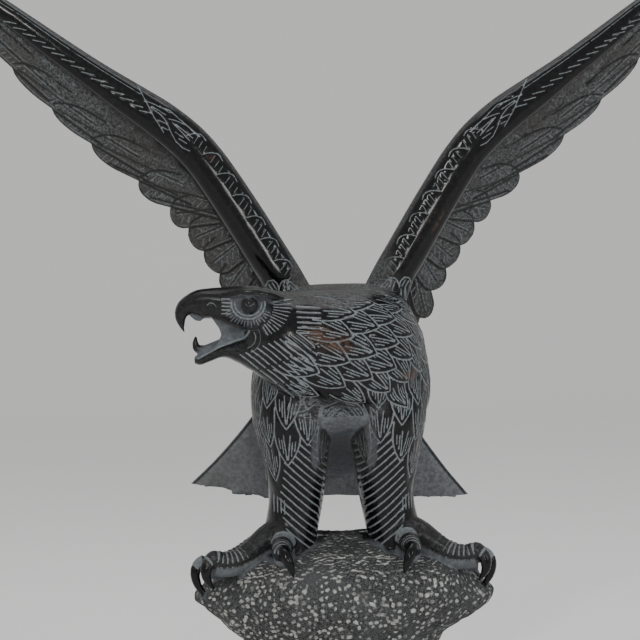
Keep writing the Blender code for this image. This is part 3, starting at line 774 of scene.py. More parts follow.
def pointed_scale(carving, tip, along, face, length, width, strokes=3, strength=1.0, plain=False):
    """A feather like a pointed arch over the ones beyond it: rim, two quill lines and side strokes."""
    along = unit_vector(along)
    middle = np.asarray(tip) - along * length * 0.5
    found, u, v = carving.patch(middle, along, face, length * 0.85, depth=1.7)
    if len(found) == 0:
        return
    u = u + length * 0.5

    def rim(share):
        return 0.5 * width * (1.0 - np.clip(share, 0.0, 1.0) ** 2.7)

    share = u / length
    inside = (u > 0) & (u < length) & (np.abs(v) < rim(share))
    spot = found[inside]
    carving.line[spot] = 0.0
    dome = 1.0 - (v[inside] / np.maximum(rim(share[inside]), 1e-3)) ** 2
    carving.rise[spot] = SCALE_RISE * share[inside] * (0.3 + 0.7 * dome)
    steps = np.linspace(0.0, 1.0, 12)
    for side in (-1, 1):
        carving.draw(found, u, v, list(zip(length * steps, side * rim(steps))), LINE_HALF, strength)
    if plain:
        return
    for side in (-1, 1):
        quill = [(0.22 * length, side * 0.13 * width), (0.86 * length, side * 0.022 * width)]
        carving.draw(found, u, v, quill, LINE_HALF * 0.85, strength)
        for k in range(strokes):
            start = 0.34 - 0.02 * k + 0.06 * (side > 0)
            end = start + 0.36 - 0.1 * k
            out = 0.2 + 0.115 * k
            stroke = [(start * length, side * out * width), (end * length, side * (out - 0.055) * width)]
            carving.draw(found, u, v, stroke, FINE_HALF, 0.9 * strength)


def surface_hit(carving, start, toward):
    """First place that a ray meets on the skin, and the way it faces there."""
    hit, normal, _, _ = carving.tree.ray_cast(Vector(start), Vector(toward).normalized())
    return (np.array(hit), np.array(normal)) if hit is not None else (None, None)


def wrapped_scale(carving, axis, radius, around, level, turn, length, width, **looks):
    """A scale whose tip lies at a way round an upright axis and a level, turned in the unrolled skin."""
    angle = around / radius
    out = np.array((math.sin(angle), -math.cos(angle), 0.0))
    start = np.array((axis[0], axis[1], level)) + out * RAY_START
    place, face = surface_hit(carving, start, -out)
    if place is None or np.hypot(place[0] - axis[0], place[1] - axis[1]) > 1.6 * radius + 2.5:
        return
    if abs(face[2]) > 0.86 or face @ out < 0.2:
        return
    onward = np.array((math.cos(angle), math.sin(angle), 0.0))
    along = onward * math.cos(turn) + np.array((0.0, 0.0, 1.0)) * math.sin(turn)
    along = along - face * (along @ face)
    pointed_scale(carving, place, along, face, length, width, **looks)


def thigh_feathers(carving):
    """Long pointed feathers round each thigh, down to a slanting edge above the shin."""
    random = np.random.default_rng(SEED)
    for side in (-1, 1):
        axis = (LEG_MIDDLE + side * 6.0, -1.2)
        for row in range(8, -1, -1):
            for column in range(-4, 5):
                level = 8.1 + THIGH_PITCH * (8 - row) + random.uniform(-0.2, 0.2)
                around = side * (0.55 + THIGH_WIDTH * (column + 0.5 * (row % 2)))
                x = axis[0] + THIGH_RADIUS * math.sin(around / THIGH_RADIUS)
                outward = (x - axis[0]) * side
                front = math.cos(around / THIGH_RADIUS) > 0
                lowest = 10.6 - 0.52 * outward if front else 9.6
                if level < lowest or level > 21.4:
                    continue
                if not front and abs(around) > 3.0 * THIGH_RADIUS:
                    continue
                turn = math.radians(-90 + side * 5 * random.uniform(-1, 1))
                wrapped_scale(carving, axis, THIGH_RADIUS, around, level, turn,
                              THIGH_LENGTH * random.uniform(0.96, 1.06), THIGH_WIDTH * 1.12, plain=not front,
                              strength=1.0 if front else 0.6, strokes=2)


def back_feathers(carving):
    """Plainer scales on the flanks and the back, with their tips down."""
    for row in range(9):
        level = 18.0 + 2.2 * row
        for column in range(-12, 13):
            around = 2.75 * (column + 0.5 * (row % 2))
            turned = math.degrees(around / BODY_RADIUS)
            if -74 < turned < 66 or abs(turned) > 180:
                continue
            wrapped_scale(carving, (0.0, 0.0), BODY_RADIUS, around, level,
                          math.radians(-90 + (22 if turned > 0 else -22) * (abs(turned) < 120)),
                          BACK_LENGTH, BACK_WIDTH, plain=abs(turned) > 100, strength=0.62, strokes=2)


def chest_feathers(carving):
    """Large pointed scales that stream from the neck across the chest and down its far side."""
    random = np.random.default_rng(SEED + 3)
    spots = []
    for row in range(-2, 7):
        for column in range(-3, 6):
            shift = column + 0.5 * (row % 2)
            spots.append((0.5 + 2.6 * row - 0.45 * shift, 27.8 - 0.4 * row - 2.95 * shift))
    # The far ones first, so that each overlaps the ones beyond it
    spots.sort(key=lambda spot: -(spot[0] + 0.35 * (30 - spot[1])))
    for x, z in spots:
        left_edge = np.interp(z, (19.0, 22.5, 26.5, 32.0), (-5.0, -5.4, -1.0, 0.0))
        above_arch = z < 19.2 and -5.6 < x < 3.0
        above_thigh = z < 21.0 and x > 7.5
        if not 18.6 < z < 34.6 or not left_edge <= x <= 15.5 or above_arch or above_thigh:
            continue
        turn = math.radians(np.interp(z, (19.0, 22.0, 25.0, 31.0), (-46, -34, -21, -14))
                            - np.interp(x, (6.0, 12.0), (0, 30)) + random.uniform(-4, 4))
        small = np.interp(z, (19.5, 23.0), (0.8, 1.0))
        wrapped_scale(carving, (0.0, 0.0), BODY_RADIUS, x, z + random.uniform(-0.15, 0.15), turn,
                      CHEST_LENGTH * small * random.uniform(0.97, 1.04),
                      CHEST_WIDTH * small * random.uniform(0.97, 1.04), strokes=2)


def belly_strokes(carving):
    """Short fine strokes, left unpolished, on the belly above the legs' arch."""
    random = np.random.default_rng(SEED + 1)
    for _ in range(BELLY_STROKES):
        x = random.uniform(-6.0, 5.0)
        z = random.uniform(16.6, 21.2)
        if z > 20.9 - 0.16 * (x + 5.0) or abs(x + 0.8) > 1.2 + (z - 15.6) * 1.15:
            continue
        place, face = surface_hit(carving, (x, -30.0, z), (0, 1, 0))
        if place is None or place[1] > 2.0:
            continue
        turn = math.radians(-38 - 9 * (x + 1) + random.uniform(-22, 22))
        found, u, v = carving.patch(place, (math.cos(turn), 0, math.sin(turn)), face, 1.2)
        length = random.uniform(0.4, 0.8)
        carving.draw(found, u, v, [(-length, 0.1), (0, 0), (length, 0.1)], LINE_HALF * 0.65, 0.62)
        carving.more("matt", 0.55 * ease(np.hypot(u, v), 1.2, 0.4), found)


def leg_strokes(carving):
    """Slanting grooves down the inner front of each leg, and short upright ones outside the ankle."""
    for side, rows in zip((-1, 1), LEGS):
        heights = [r[0] for r in rows][::-1]
        inner_column, outer_column = (2, 1) if side < 0 else (1, 2)

        def edge(z, column):
            return np.interp(z, heights, [r[column] for r in rows][::-1])

        for k in range(17):
            low = 15.4 - 0.87 * k
            inner, outer = edge(low, inner_column), edge(low, outer_column)
            share = np.interp(low, (1.0, 4.0, 9.0, 12.0, 15.4), (0.5, 0.72, 0.74, 0.55, 0.3))
            reach = share * (outer - inner)
            points = [(inner + reach * t, low + 0.86 * abs(reach) * t ** 1.1)
                      for t in np.linspace(0.04, 1.0, 8)]
            carving.cut(points, -1, LINE_HALF * 1.05, middle_y=-6.0)
        for k in range(4):
            x = edge(7.6, outer_column) - side * (0.55 + 0.42 * k)
            carving.cut([(x, 8.7 - 0.2 * k), (x, 6.7 - 0.1 * k)], -1, LINE_HALF * 0.85, middle_y=-5.0,
                        strength=0.8)


def arc(middle, reach, first, last, count=18):
    """Points of an oval's arc, from one angle to another in degrees."""
    return [(middle[0] + reach[0] * math.cos(a), middle[1] + reach[1] * math.sin(a))
            for a in np.linspace(math.radians(first), math.radians(last), count)]


def head_lines(carving):
    """Eye rings, lashes, cheek and neck strokes, the same on both sides of the head."""
    across_neck, up_neck = np.array((0.77, -0.64)), np.array((0.64, 0.77))
    eye, ring = np.array((EYE_X, EYE_Z)), (RING_X, RING_Z)
    for side in (-1, 1):
        y = HEAD_PLANE + side * 3.4

        def cut(points, half=LINE_HALF, strength=1.0):
            carving.cut(points, side, half, depth=6.0, middle_y=y, strength=strength)

        cut(arc(ring, (RING_WIDE, RING_HIGH), -192, 8, 26), 0.11, 0.85)
        cut(arc(ring, (1.62, 1.45), -190, 4, 22), 0.1, 0.75)
        # Pale arc cut on the upper eyeball: a shallow incised line that also stands in as a painted highlight
        cut(arc((EYE_X - 0.1, EYE_Z + 0.35), (0.5, 0.4), -170, -10, 10), 0.08, 0.5)
        # Strokes before the eye, below it and behind it
        for k in range(5):
            z = EYE_Z + 0.85 - 0.44 * k
            cut([(RING_X - 2.15, z), (RING_X - 3.15, z + 0.04)], LINE_HALF * 0.85, 0.95)
        for k in range(17):
            angle = -158 + 8.2 * k
            ends = [arc(ring, (RING_WIDE * out, RING_HIGH * out), angle, angle, 1)[0]
                    for out in (1.12, 1.42 + 0.1 * (k % 2))]
            cut(ends, LINE_HALF * 0.7, 0.7)
        for k in range(12):
            angle = math.radians(8 - 6.2 * k)
            way = np.array((math.cos(angle), math.sin(angle)))
            end_reach = min((-6.55 - EYE_X) / max(way[0], 0.3), 5.1) - 0.09 * k
            cut([eye + way * (2.75 + 0.12 * (k % 2)), eye + way * end_reach], FINE_HALF, 0.75)
        for k in range(6):
            z = 31.7 - 0.63 * k
            cut([(-6.05, z), (-3.25, z - 0.22)], LINE_HALF * 0.95)
        # Long strokes in bands down the cheek and neck
        for k in range(11):
            offset = 0.62 * k
            start = np.array((-12.9, 26.1)) + up_neck * offset + across_neck * 0.572 * offset
            total = 9.2 - 0.95 * offset
            begin = 0.0
            for length in (2.7 + 0.25 * (k % 2), 2.5, 2.4, 1.4):
                end = min(begin + length, total)
                if end - begin > 0.6:
                    middle = start + across_neck * (begin + end) / 2 + up_neck * 0.05
                    cut([start + across_neck * begin, middle, start + across_neck * end], LINE_HALF * 0.95)
                begin = end + 0.34
        for reach, strength in ((1.25, 0.6), (1.85, 0.5), (2.5, 0.3)):
            cut(arc((-12.3, 28.1), (reach, reach), -78, 32), FINE_HALF, strength)
        # Lip, lower edge of the upper beak, and nostril
        cut([(-17.9, 25.75), (-16.5, 26.5), (-15.0, 27.25), (-12.3, 28.1), (-11.8, 28.8)], 0.13, 0.75)
        cut([(-12.6, 29.05), (-11.6, 28.95), (-10.6, 29.0)], 0.08, 0.4)
        cut([(-16.7, 32.05), (-16.35, 32.35), (-15.9, 32.3), (-15.6, 31.85)], 0.09, 0.6)
        found, u, v = carving.patch((-16.1, y, 32.05), (1, 0, 0), (0, side, 0), 4.0, depth=5.0)
        carving.rise[found] -= 0.1 * ease(np.hypot(u / 0.4, v / 0.22), 1.0, 0.2)


# Lines on the wrist in the front plane: two pointed feathers that cross, and the strokes inside them
WRIST_LINES = (
    ((24.6, 60.0), (24.2, 59.2), (23.4, 57.5), (22.6, 55.8), (21.4, 53.8)),
    ((23.8, 57.8), (23.0, 57.6), (22.0, 57.1), (20.6, 56.6), (18.6, 54.7), (16.9, 53.2)),
    ((23.0, 57.0), (21.8, 56.1), (21.0, 55.1), (20.6, 54.0), (19.9, 52.6), (19.1, 51.8), (18.2, 51.4)),
    ((20.8, 55.5), (20.0, 55.3), (18.6, 54.7), (17.8, 53.9), (17.0, 53.2)),
    ((22.8, 57.1), (21.1, 56.0)), ((22.1, 55.4), (21.1, 54.9)), ((21.6, 54.5), (20.9, 54.1)),
    ((20.3, 55.0), (18.2, 52.7)), ((19.9, 54.8), (17.8, 53.0)), ((20.0, 53.8), (19.0, 53.1)),
    ((19.6, 53.0), (18.5, 52.3)), ((21.8, 57.1), (20.6, 56.3)),
)

# Two short feathers where the arm leaves the back
SHOULDER_LINES = (
    ((9.2, 34.4), (8.9, 35.0), (8.2, 35.1), (7.7, 34.6), (7.55, 33.8)),
    ((8.8, 34.6), (8.3, 33.8)), ((8.4, 34.8), (7.9, 34.0)),
    ((7.5, 34.2), (7.2, 34.9), (6.6, 35.15), (5.8, 34.6), (5.1, 33.8)),
    ((7.0, 34.6), (6.7, 33.8)), ((6.6, 34.8), (6.25, 33.9)), ((6.2, 34.5), (5.7, 33.9)),
)


def arm_place(share, across):
    """Front-plane place on the right wing's arm: share from shoulder to tip, across from edge to crease."""
    row = smooth_row(ARM, share * (len(ARM) - 1))
    return np.array((row[0] + (row[2] - row[0]) * across, row[1] + (row[3] - row[1]) * across))


def across_arms(carving):
    """The corners of both wings and how far each lies across its arm, 0 at the edge and 1 at the crease."""
    x, y, z = carving.place.T
    high = np.nonzero((z > 27.0) & (np.abs(x) > 2.0))[0]
    rows = np.array(sample_rows(ARM, 3))
    outer, crease = rows[:, :2], rows[:, 2:4]
    flat = np.stack([np.abs(x[high]), z[high]], axis=1)
    best = np.full(len(high), 1e9)
    across = np.zeros(len(high))
    for k in range(len(rows)):
        middle = (outer[k] + crease[k]) / 2
        away = np.linalg.norm(flat - middle, axis=1)
        way = crease[k] - outer[k]
        share = ((flat - outer[k]) @ way) / (way @ way)
        closer = away < best
        best = np.where(closer, away, best)
        across = np.where(closer, share, across)
    return high, across


def clear_arms(carving):
    """Leave the polished front of each arm bare, up to its crease with the wing's sheet."""
    high, across = across_arms(carving)
    y, z = carving.place[high, 1], carving.place[high, 2]
    bare = high[(across < 0.99) & (z > 34.2) & (y < 8.8) & (carving.facing[high, 1] < 0.3)]
    carving.line[bare] = 0.0
    carving.dark[bare] = 0.0
    carving.rise[bare] = 0.0


def wing_lines(carving):
    """Small covert feathers, crossing wrist feathers and slanted dashes on the front of each arm."""
    for mirror in (-1, 1):
        def cut(points, half=LINE_HALF, strength=1.0):
            carving.cut([(x * mirror, z) for x, z in points], -1, half, depth=7.0, middle_y=2.0,
                        strength=strength)

        # Coverts from the wrist down to the shoulder: a hooked crest and three strokes each
        shares = np.linspace(0.43, 0.03, 120)
        middles = np.array([arm_place(s, 0.25) for s in shares])
        run = np.concatenate([[0.0], np.cumsum(np.linalg.norm(np.diff(middles, axis=0), axis=1))])

        def spot(along, across):
            return arm_place(np.interp(along, run, shares), across)

        for k in range(COVERTS):
            start = 0.2 + COVERT_PITCH * k
            crest = [(start - 0.1, 0.47), (start, 0.36), (start + 0.3, 0.24), (start + 0.75, 0.16),
                     (start + 1.2, 0.145), (start + 1.8, 0.17)]
            cut([spot(u, v) for u, v in crest], LINE_HALF * 1.1, 0.6)
            for j in range(3):
                along = start + 0.85 + 0.8 * j
                cut([spot(along, 0.25), spot(along + 0.45, 0.45 - 0.02 * j)], LINE_HALF, 0.58)
        for points in WRIST_LINES:
            cut(points, LINE_HALF * 0.9, 0.68)
        # Slanted dashes from near the tip to the wrist, and two lines along the arm beside them
        for k in range(15):
            x, z = 41.0 - 1.19 * k, 68.25 - 0.83 * k
            cut([(x, z), (x - 1.6, z - 0.42)], LINE_HALF * 1.05, 0.65)
        cut([(43.5, 71.9), (38.8, 68.9), (34.0, 65.3), (29.1, 61.9), (24.2, 58.7)], FINE_HALF, 0.6)
        cut([arm_place(s, 0.13) for s in np.linspace(0.5, 0.97, 16)], LINE_HALF * 0.9, 0.45)
        for points in SHOULDER_LINES:
            cut(points, LINE_HALF, 0.9)


def feather_step(carving, tip, along, across, side, half, length, wide):
    """Raise one edge of a long feather over its neighbour's and hollow the other, as overlapped vanes lie."""
    found = carving.behind(tip - along * length / 2, math.hypot(length / 2, half) + 0.2)
    found = found[(carving.facing[found, 1] * side > 0.3) & (carving.place[found, 1] > 3.0)]
    away = carving.place[found][:, [0, 2]] - tip
    back, out = -(away @ along), away @ across
    limit = np.array([wide(b) for b in np.clip(back, 0.0, length)])
    inside = (back > 0) & (back < length) & (np.abs(out) < limit)
    share = out[inside] / np.maximum(limit[inside], 0.1)
    shaft = ease(np.abs(out[inside]), 0.3, 0.1)
    carving.rise[found[inside]] = 0.11 * share * side * -1.0 + 0.05 * shaft
    carving.line[found[inside]] = 0.0


def wing_feather_lines(carving):
    """Shafts, barbs and stepped rims of the long wing feathers, on the front and back of each wing."""
    for number in range(len(FEATHERS)):
        for mirror in (-1, 1):
            for side in (-1, 1):
                engrave_feather(carving, number, mirror, side)


def engrave_feather(carving, number, mirror, side):
    """The lines of one long feather, by places back from its tip and out from its shaft."""
    tip, along, across, half = feather_axis(number)
    lobe, end_length, length = FEATHERS[number][1:]
    weight = 1.0 if side < 0 else 0.75

    def cut(points, half_line=LINE_HALF, strength=1.0, dark=False):
        points = [(tip - along * back + across * out) * (mirror, 1.0) for back, out in points]
        carving.cut(points, side, half_line, depth=SHEET_REACH, middle_y=SHEET_Y,
                    strength=strength * weight, least_facing=0.3, dark=dark)

    def wide(back):
        part = min(back / end_length, 1.0)
        return half * math.sqrt(max(1.0 - (1.0 - part) ** 2, 0.0))

    feather_step(carving, tip * (mirror, 1.0), along * (mirror, 1.0), across * (mirror, 1.0),
                 side, half, min(length, 15.0), wide)
    backs = np.linspace(0.15, min(length, 15.0), 14)
    # Rims, shafts and the rows beside them are grooves filled with painted shade
    cut([(back, wide(back) + 0.02) for back in backs], 0.15, dark=True)
    cut([(back, wide(back) - 0.3) for back in backs if wide(back) > 0.8], FINE_HALF, 0.6)
    cut([(back, -wide(back) - 0.02) for back in backs if back < end_length * 1.6], 0.12, dark=True)
    inner = np.linspace(0.9, min(length, 13.0), 12)
    cut([(back, 0.0) for back in inner], 0.12, 0.75, dark=True)
    for out in (-0.2, 0.2):
        cut([(back, out) for back in inner], LINE_HALF * 0.75, 0.75)
    for k in range(1, int(min(length, 11.0) / BARB_PITCH)):
        back = 0.5 + BARB_PITCH * k
        reach = wide(back) - 0.5
        # Where a row of barbs begins and ends beside the shaft, how strong it is, and whether it is there
        for start, end, strength, there in ((0.55, min(reach, 1.25), 0.75, reach > 0.85),
                                            (-0.55, -min(reach, 1.15), 0.68, lobe < 0.8 and reach > 0.85),
                                            (1.75, min(reach, 2.4), 0.6, number < 4 and reach > 2.2)):
            if there:
                cut([(back + 0.42, start), (back, end)], LINE_HALF * 0.9, strength)
    for out in (1.5, 2.6):
        row = [(back, out) for back in inner if wide(back) > out + 0.2]
        if lobe > 0.7 and len(row) > 1:
            cut(row, 0.1, dark=True)


def sheet_scratches(carving):
    """Short random chisel marks in the grey stone between the arm and its long feathers."""
    random = np.random.default_rng(SEED + 5)
    for mirror in (-1, 1):
        for _ in range(SHEET_STROKES):
            share = random.uniform(0.1, 0.86)
            out = random.uniform(1.05, 1.05 + 0.85 * math.sin(math.pi * min(share * 1.4, 1.0)) ** 0.7 + 0.15)
            x, z = arm_place(share, out)
            turn = random.uniform(0, math.pi)
            long = random.uniform(0.12, 0.34)
            bend = random.uniform(-0.1, 0.1)
            points = [(x + math.cos(turn) * long * k - math.sin(turn) * bend * (k * k),
                       z + math.sin(turn) * long * k + math.cos(turn) * bend * (k * k)) for k in (-1, 0, 1)]
            side = -1 if random.random() < 0.7 else 1
            carving.cut([(px * mirror, pz) for px, pz in points], side, LINE_HALF * 0.6, depth=6.0,
                        middle_y=9.2, strength=0.6)


def tail_lines(carving):
    """Divisions between the tail feathers behind; in front, a border groove filled with painted shade and a
    middle fringe.
    """
    rows = sample_rows(TAIL, 2)

    def spot(row, share, inward=0.0):
        height, left, right, _ = row
        x = left + (right - left) * share
        return (x + inward, height + TAIL_TILT * x)

    for k in range(1, TAIL_FEATHERS):
        share = k / TAIL_FEATHERS
        points = [spot(row, share) for row in rows[1:]]
        points[-1] = (points[-1][0], points[-1][1] - float(np.interp(share, TAIL_SAG_PLACES, TAIL_SAG)))
        carving.cut(points, 1, 0.14, depth=6.0, middle_y=12.0, strength=0.8)
    for k in range(TAIL_FEATHERS):
        share = (k + 0.5) / TAIL_FEATHERS
        carving.cut([spot(row, share) for row in rows[2:]], 1, 0.1, depth=6.0, middle_y=12.0, strength=0.55)
    # The border grooves are filled with painted shade
    for share, inward in ((0.0, 0.35), (1.0, -0.35)):
        carving.cut([spot(row, share, inward) for row in rows], -1, 0.16, TAIL_REACH, TAIL_Y,
                    least_facing=0.0, dark=True)
    random = np.random.default_rng(SEED + 9)
    foot = 7.2
    for k in range(15):
        x = -3.4 + 0.42 * k
        rise = random.uniform(0.7, 1.5)
        lean = 0.12 * (x - LEG_MIDDLE) + random.uniform(-0.1, 0.1)
        points = [(x, foot), (x + 0.4 * lean, foot + rise * 0.5), (x + lean, foot + rise)]
        carving.cut(points, -1, FINE_HALF, TAIL_REACH, TAIL_Y, strength=0.7)


def path_coordinates(places, rows):
    """For each place: how far along a tube's path it is, and its distance outside the tube."""
    samples = np.array(sample_rows(rows, 2))
    points, radii = samples[:, :3], samples[:, 3]
    run = np.concatenate([[0.0], np.cumsum(np.linalg.norm(np.diff(points, axis=0), axis=1))])
    best = np.full(len(places), 1e9)
    along = np.zeros(len(places))
    margin = radii.max() + 0.6
    inside = np.all((places > points.min(axis=0) - margin) & (places < points.max(axis=0) + margin), axis=1)
    close = places[inside]
    if len(close) == 0:
        return along, best
    near_best, near_along = best[inside], along[inside]
    for k in range(len(points) - 1):
        step = points[k + 1] - points[k]
        share = np.clip((close - points[k]) @ step / max(step @ step, 1e-9), 0.0, 1.0)
        away = np.linalg.norm(close - points[k] - share[:, None] * step, axis=1)
        outside = away - (radii[k] + (radii[k + 1] - radii[k]) * share)
        closer = outside < near_best
        near_best = np.where(closer, outside, near_best)
        near_along = np.where(closer, run[k] + share * (run[k + 1] - run[k]), near_along)
    best[inside], along[inside] = near_best, near_along
    return along, best


def mark_feet_and_rock(carving):
    """Scutes across the toes, grey webs under them, and which corners belong to the rough rock."""
    low = np.nonzero(carving.place[:, 2] < 6.5)[0]
    spots = carving.place[low]
    facing = carving.facing[low]
    toe, talon, web, leg = (np.full(len(low), 1e9) for _ in range(4))
    toe_along = np.zeros(len(low))
    for rows in on_both_feet(TOES):
        along, outside = path_coordinates(spots, rows)
        toe_along = np.where(outside < toe, along, toe_along)
        toe = np.minimum(toe, outside)
        web = np.minimum(web, path_coordinates(spots, web_below(rows))[1])
    scuted = ease(toe_along, SCUTES_BEGIN, SCUTES_FULL) * ((toe < 0.25) & (facing[:, 2] > -0.2))
    wave = np.abs(((toe_along / SCUTE_PITCH) % 1.0) - 0.5) * 2
    carving.more("line", ease(wave, 0.5, 0.8) * scuted * (0.8 - 0.5 * (facing[:, 1] > 0.2)), low)
    carving.rise[low] += 0.05 * (0.4 - wave) * scuted
    for rows in on_both_feet(TALONS):
        along, outside = path_coordinates(spots, rows)
        talon = np.minimum(talon, outside)
        on_rim = (np.abs(outside) < 0.25) & (np.abs(along - 0.25) < 0.1)
        carving.more("line", 0.35, low[on_rim])
    for rows in LEGS:
        table = np.array(rows)[::-1]
        left, right, front, back = (np.interp(spots[:, 2], table[:, 0], table[:, k]) for k in (1, 2, 3, 4))
        reach = np.hypot((spots[:, 0] - (left + right) / 2) / ((right - left) / 2),
                         (spots[:, 1] - (front + back) / 2) / ((back - front) / 2))
        leg = np.minimum(leg, (reach - 1.0) * 3.0)
    # Grey stone joins the bird to the rock; what lies beyond it is the rock's
    beyond = np.minimum(np.minimum(toe, talon), leg) > 0.1
    wander = 0.22 * np.sin(2.3 * spots[:, 0] + 1.1) * np.sin(2.9 * spots[:, 1] + 0.7 + spots[:, 0])
    joined = beyond & ((web < 0.3 + wander) | (talon < 0.55 + wander) | (leg < 0.8 + wander)
                       | (toe < 0.4 + wander))
    grey = joined * ease(spots[:, 2], 3.1, 2.3)
    rocky = beyond & ~joined & (spots[:, 2] < 4.2)
    carving.more("honed", grey, low)
    carving.more("matt", 0.3 * grey, low)
    carving.more("matt", 0.28 * (toe < 0.25), low)
    carving.more("rocky", rocky, low)
    carving.line[low] *= np.where(rocky | joined, 0.0, 1.0)


def crowded(taken, cell, spot, gap):
    """Whether a spot lies within a gap of one already taken in its own or a neighbouring cell."""
    for step in itertools.product((-1, 0, 1), repeat=3):
        for other in taken.get(tuple(c + s for c, s in zip(cell, step)), ()):
            if np.linalg.norm(other - spot) < gap:
                return True
    return False


def waves(places, size, shift=(0.0, 0.0, 0.0)):
    """Smooth random heights at places, rising and falling over about a size."""
    return np.array([noise.noise(Vector(p) / size + Vector(shift)) for p in places])


def roughen_rock(carving):
    """Uneven hewn stone and scattered chisel pecks over the rock and base."""
    random = np.random.default_rng(SEED + 2)
    rock = np.nonzero(carving.rocky > 0.5)[0]
    place = carving.place[rock]
    for size, depth in ((1.9, 0.16), (0.8, 0.09)):
        carving.rise[rock] += depth * waves(place, size)
    ground = WAIST_LEVEL - BASE_HEIGHT / UNIT
    clear = rock[place[:, 2] > ground + 0.4]
    chosen = clear[random.permutation(len(clear))[:PECK_TRIES]]
    taken = {}
    for index in chosen:
        spot = carving.place[index]
        cell = tuple((spot // PECK_CELL).astype(int))
        on_top = float(ease(spot[2], -3.4, 0.6))
        patchy = noise.noise(Vector(spot) / PATCH_SIZE)
        gap = (0.6 - 0.15 * on_top) * (1.0 - 0.22 * patchy)
        if crowded(taken, cell, spot, gap):
            continue
        taken.setdefault(cell, []).append(spot)
        if random.random() < 0.02 - 0.22 * patchy:
            continue
        face = carving.facing[index]
        turn = random.uniform(-0.35, 0.35) if on_top > 0.5 else random.uniform(-1.5, 1.5)
        level_way = np.cross((0.0, 0.0, 1.0), face)
        if np.linalg.norm(level_way) < 0.2:
            level_way = np.array((1.0, 0.0, 0.0))
        level_way = unit_vector(level_way)
        upward = np.cross(face, level_way)
        along = level_way * math.cos(turn) + upward * math.sin(turn)
        found, u, v = carving.patch(spot, along, face, 0.8, depth=0.7)
        if len(found) == 0:
            continue
        size = random.uniform(0.6, 1.28)
        long = (0.3 + 0.06 * on_top) * size
        wide = (0.25 - 0.13 * on_top) * size
        skew = random.uniform(-0.4, 0.4)
        corner = random.uniform(0.5, 0.72)
        shape = np.maximum(np.maximum(np.abs(u) / long, np.abs(v + skew * u) / wide),
                           (np.abs(u) / long + np.abs(v) / wide) * corner)
        pit = ease(shape, 1.15, 0.65)
        carving.more("peck", pit * random.uniform(0.25, 1.0), found)
        carving.rise[found] -= 0.045 * pit
    dust = 0.6 * waves(place, 2.6, (5.0, 0.0, 2.0)) + 0.4 * waves(place, 0.7)
    carving.more("peck", 0.25 * ease(dust, 0.0, 0.45), rock)
    carving.peck[carving.rocky < 0.5] = 0.0


# Brown stains in the front plane: x, z and size
STAINS = ((-3.4, 28.2, 1.9), (-1.6, 27.2, 2.0), (-0.6, 26.6, 1.3), (7.7, 23.0, 1.1), (12.6, 42.2, 1.1),
          (-15.6, 50.5, 0.7))


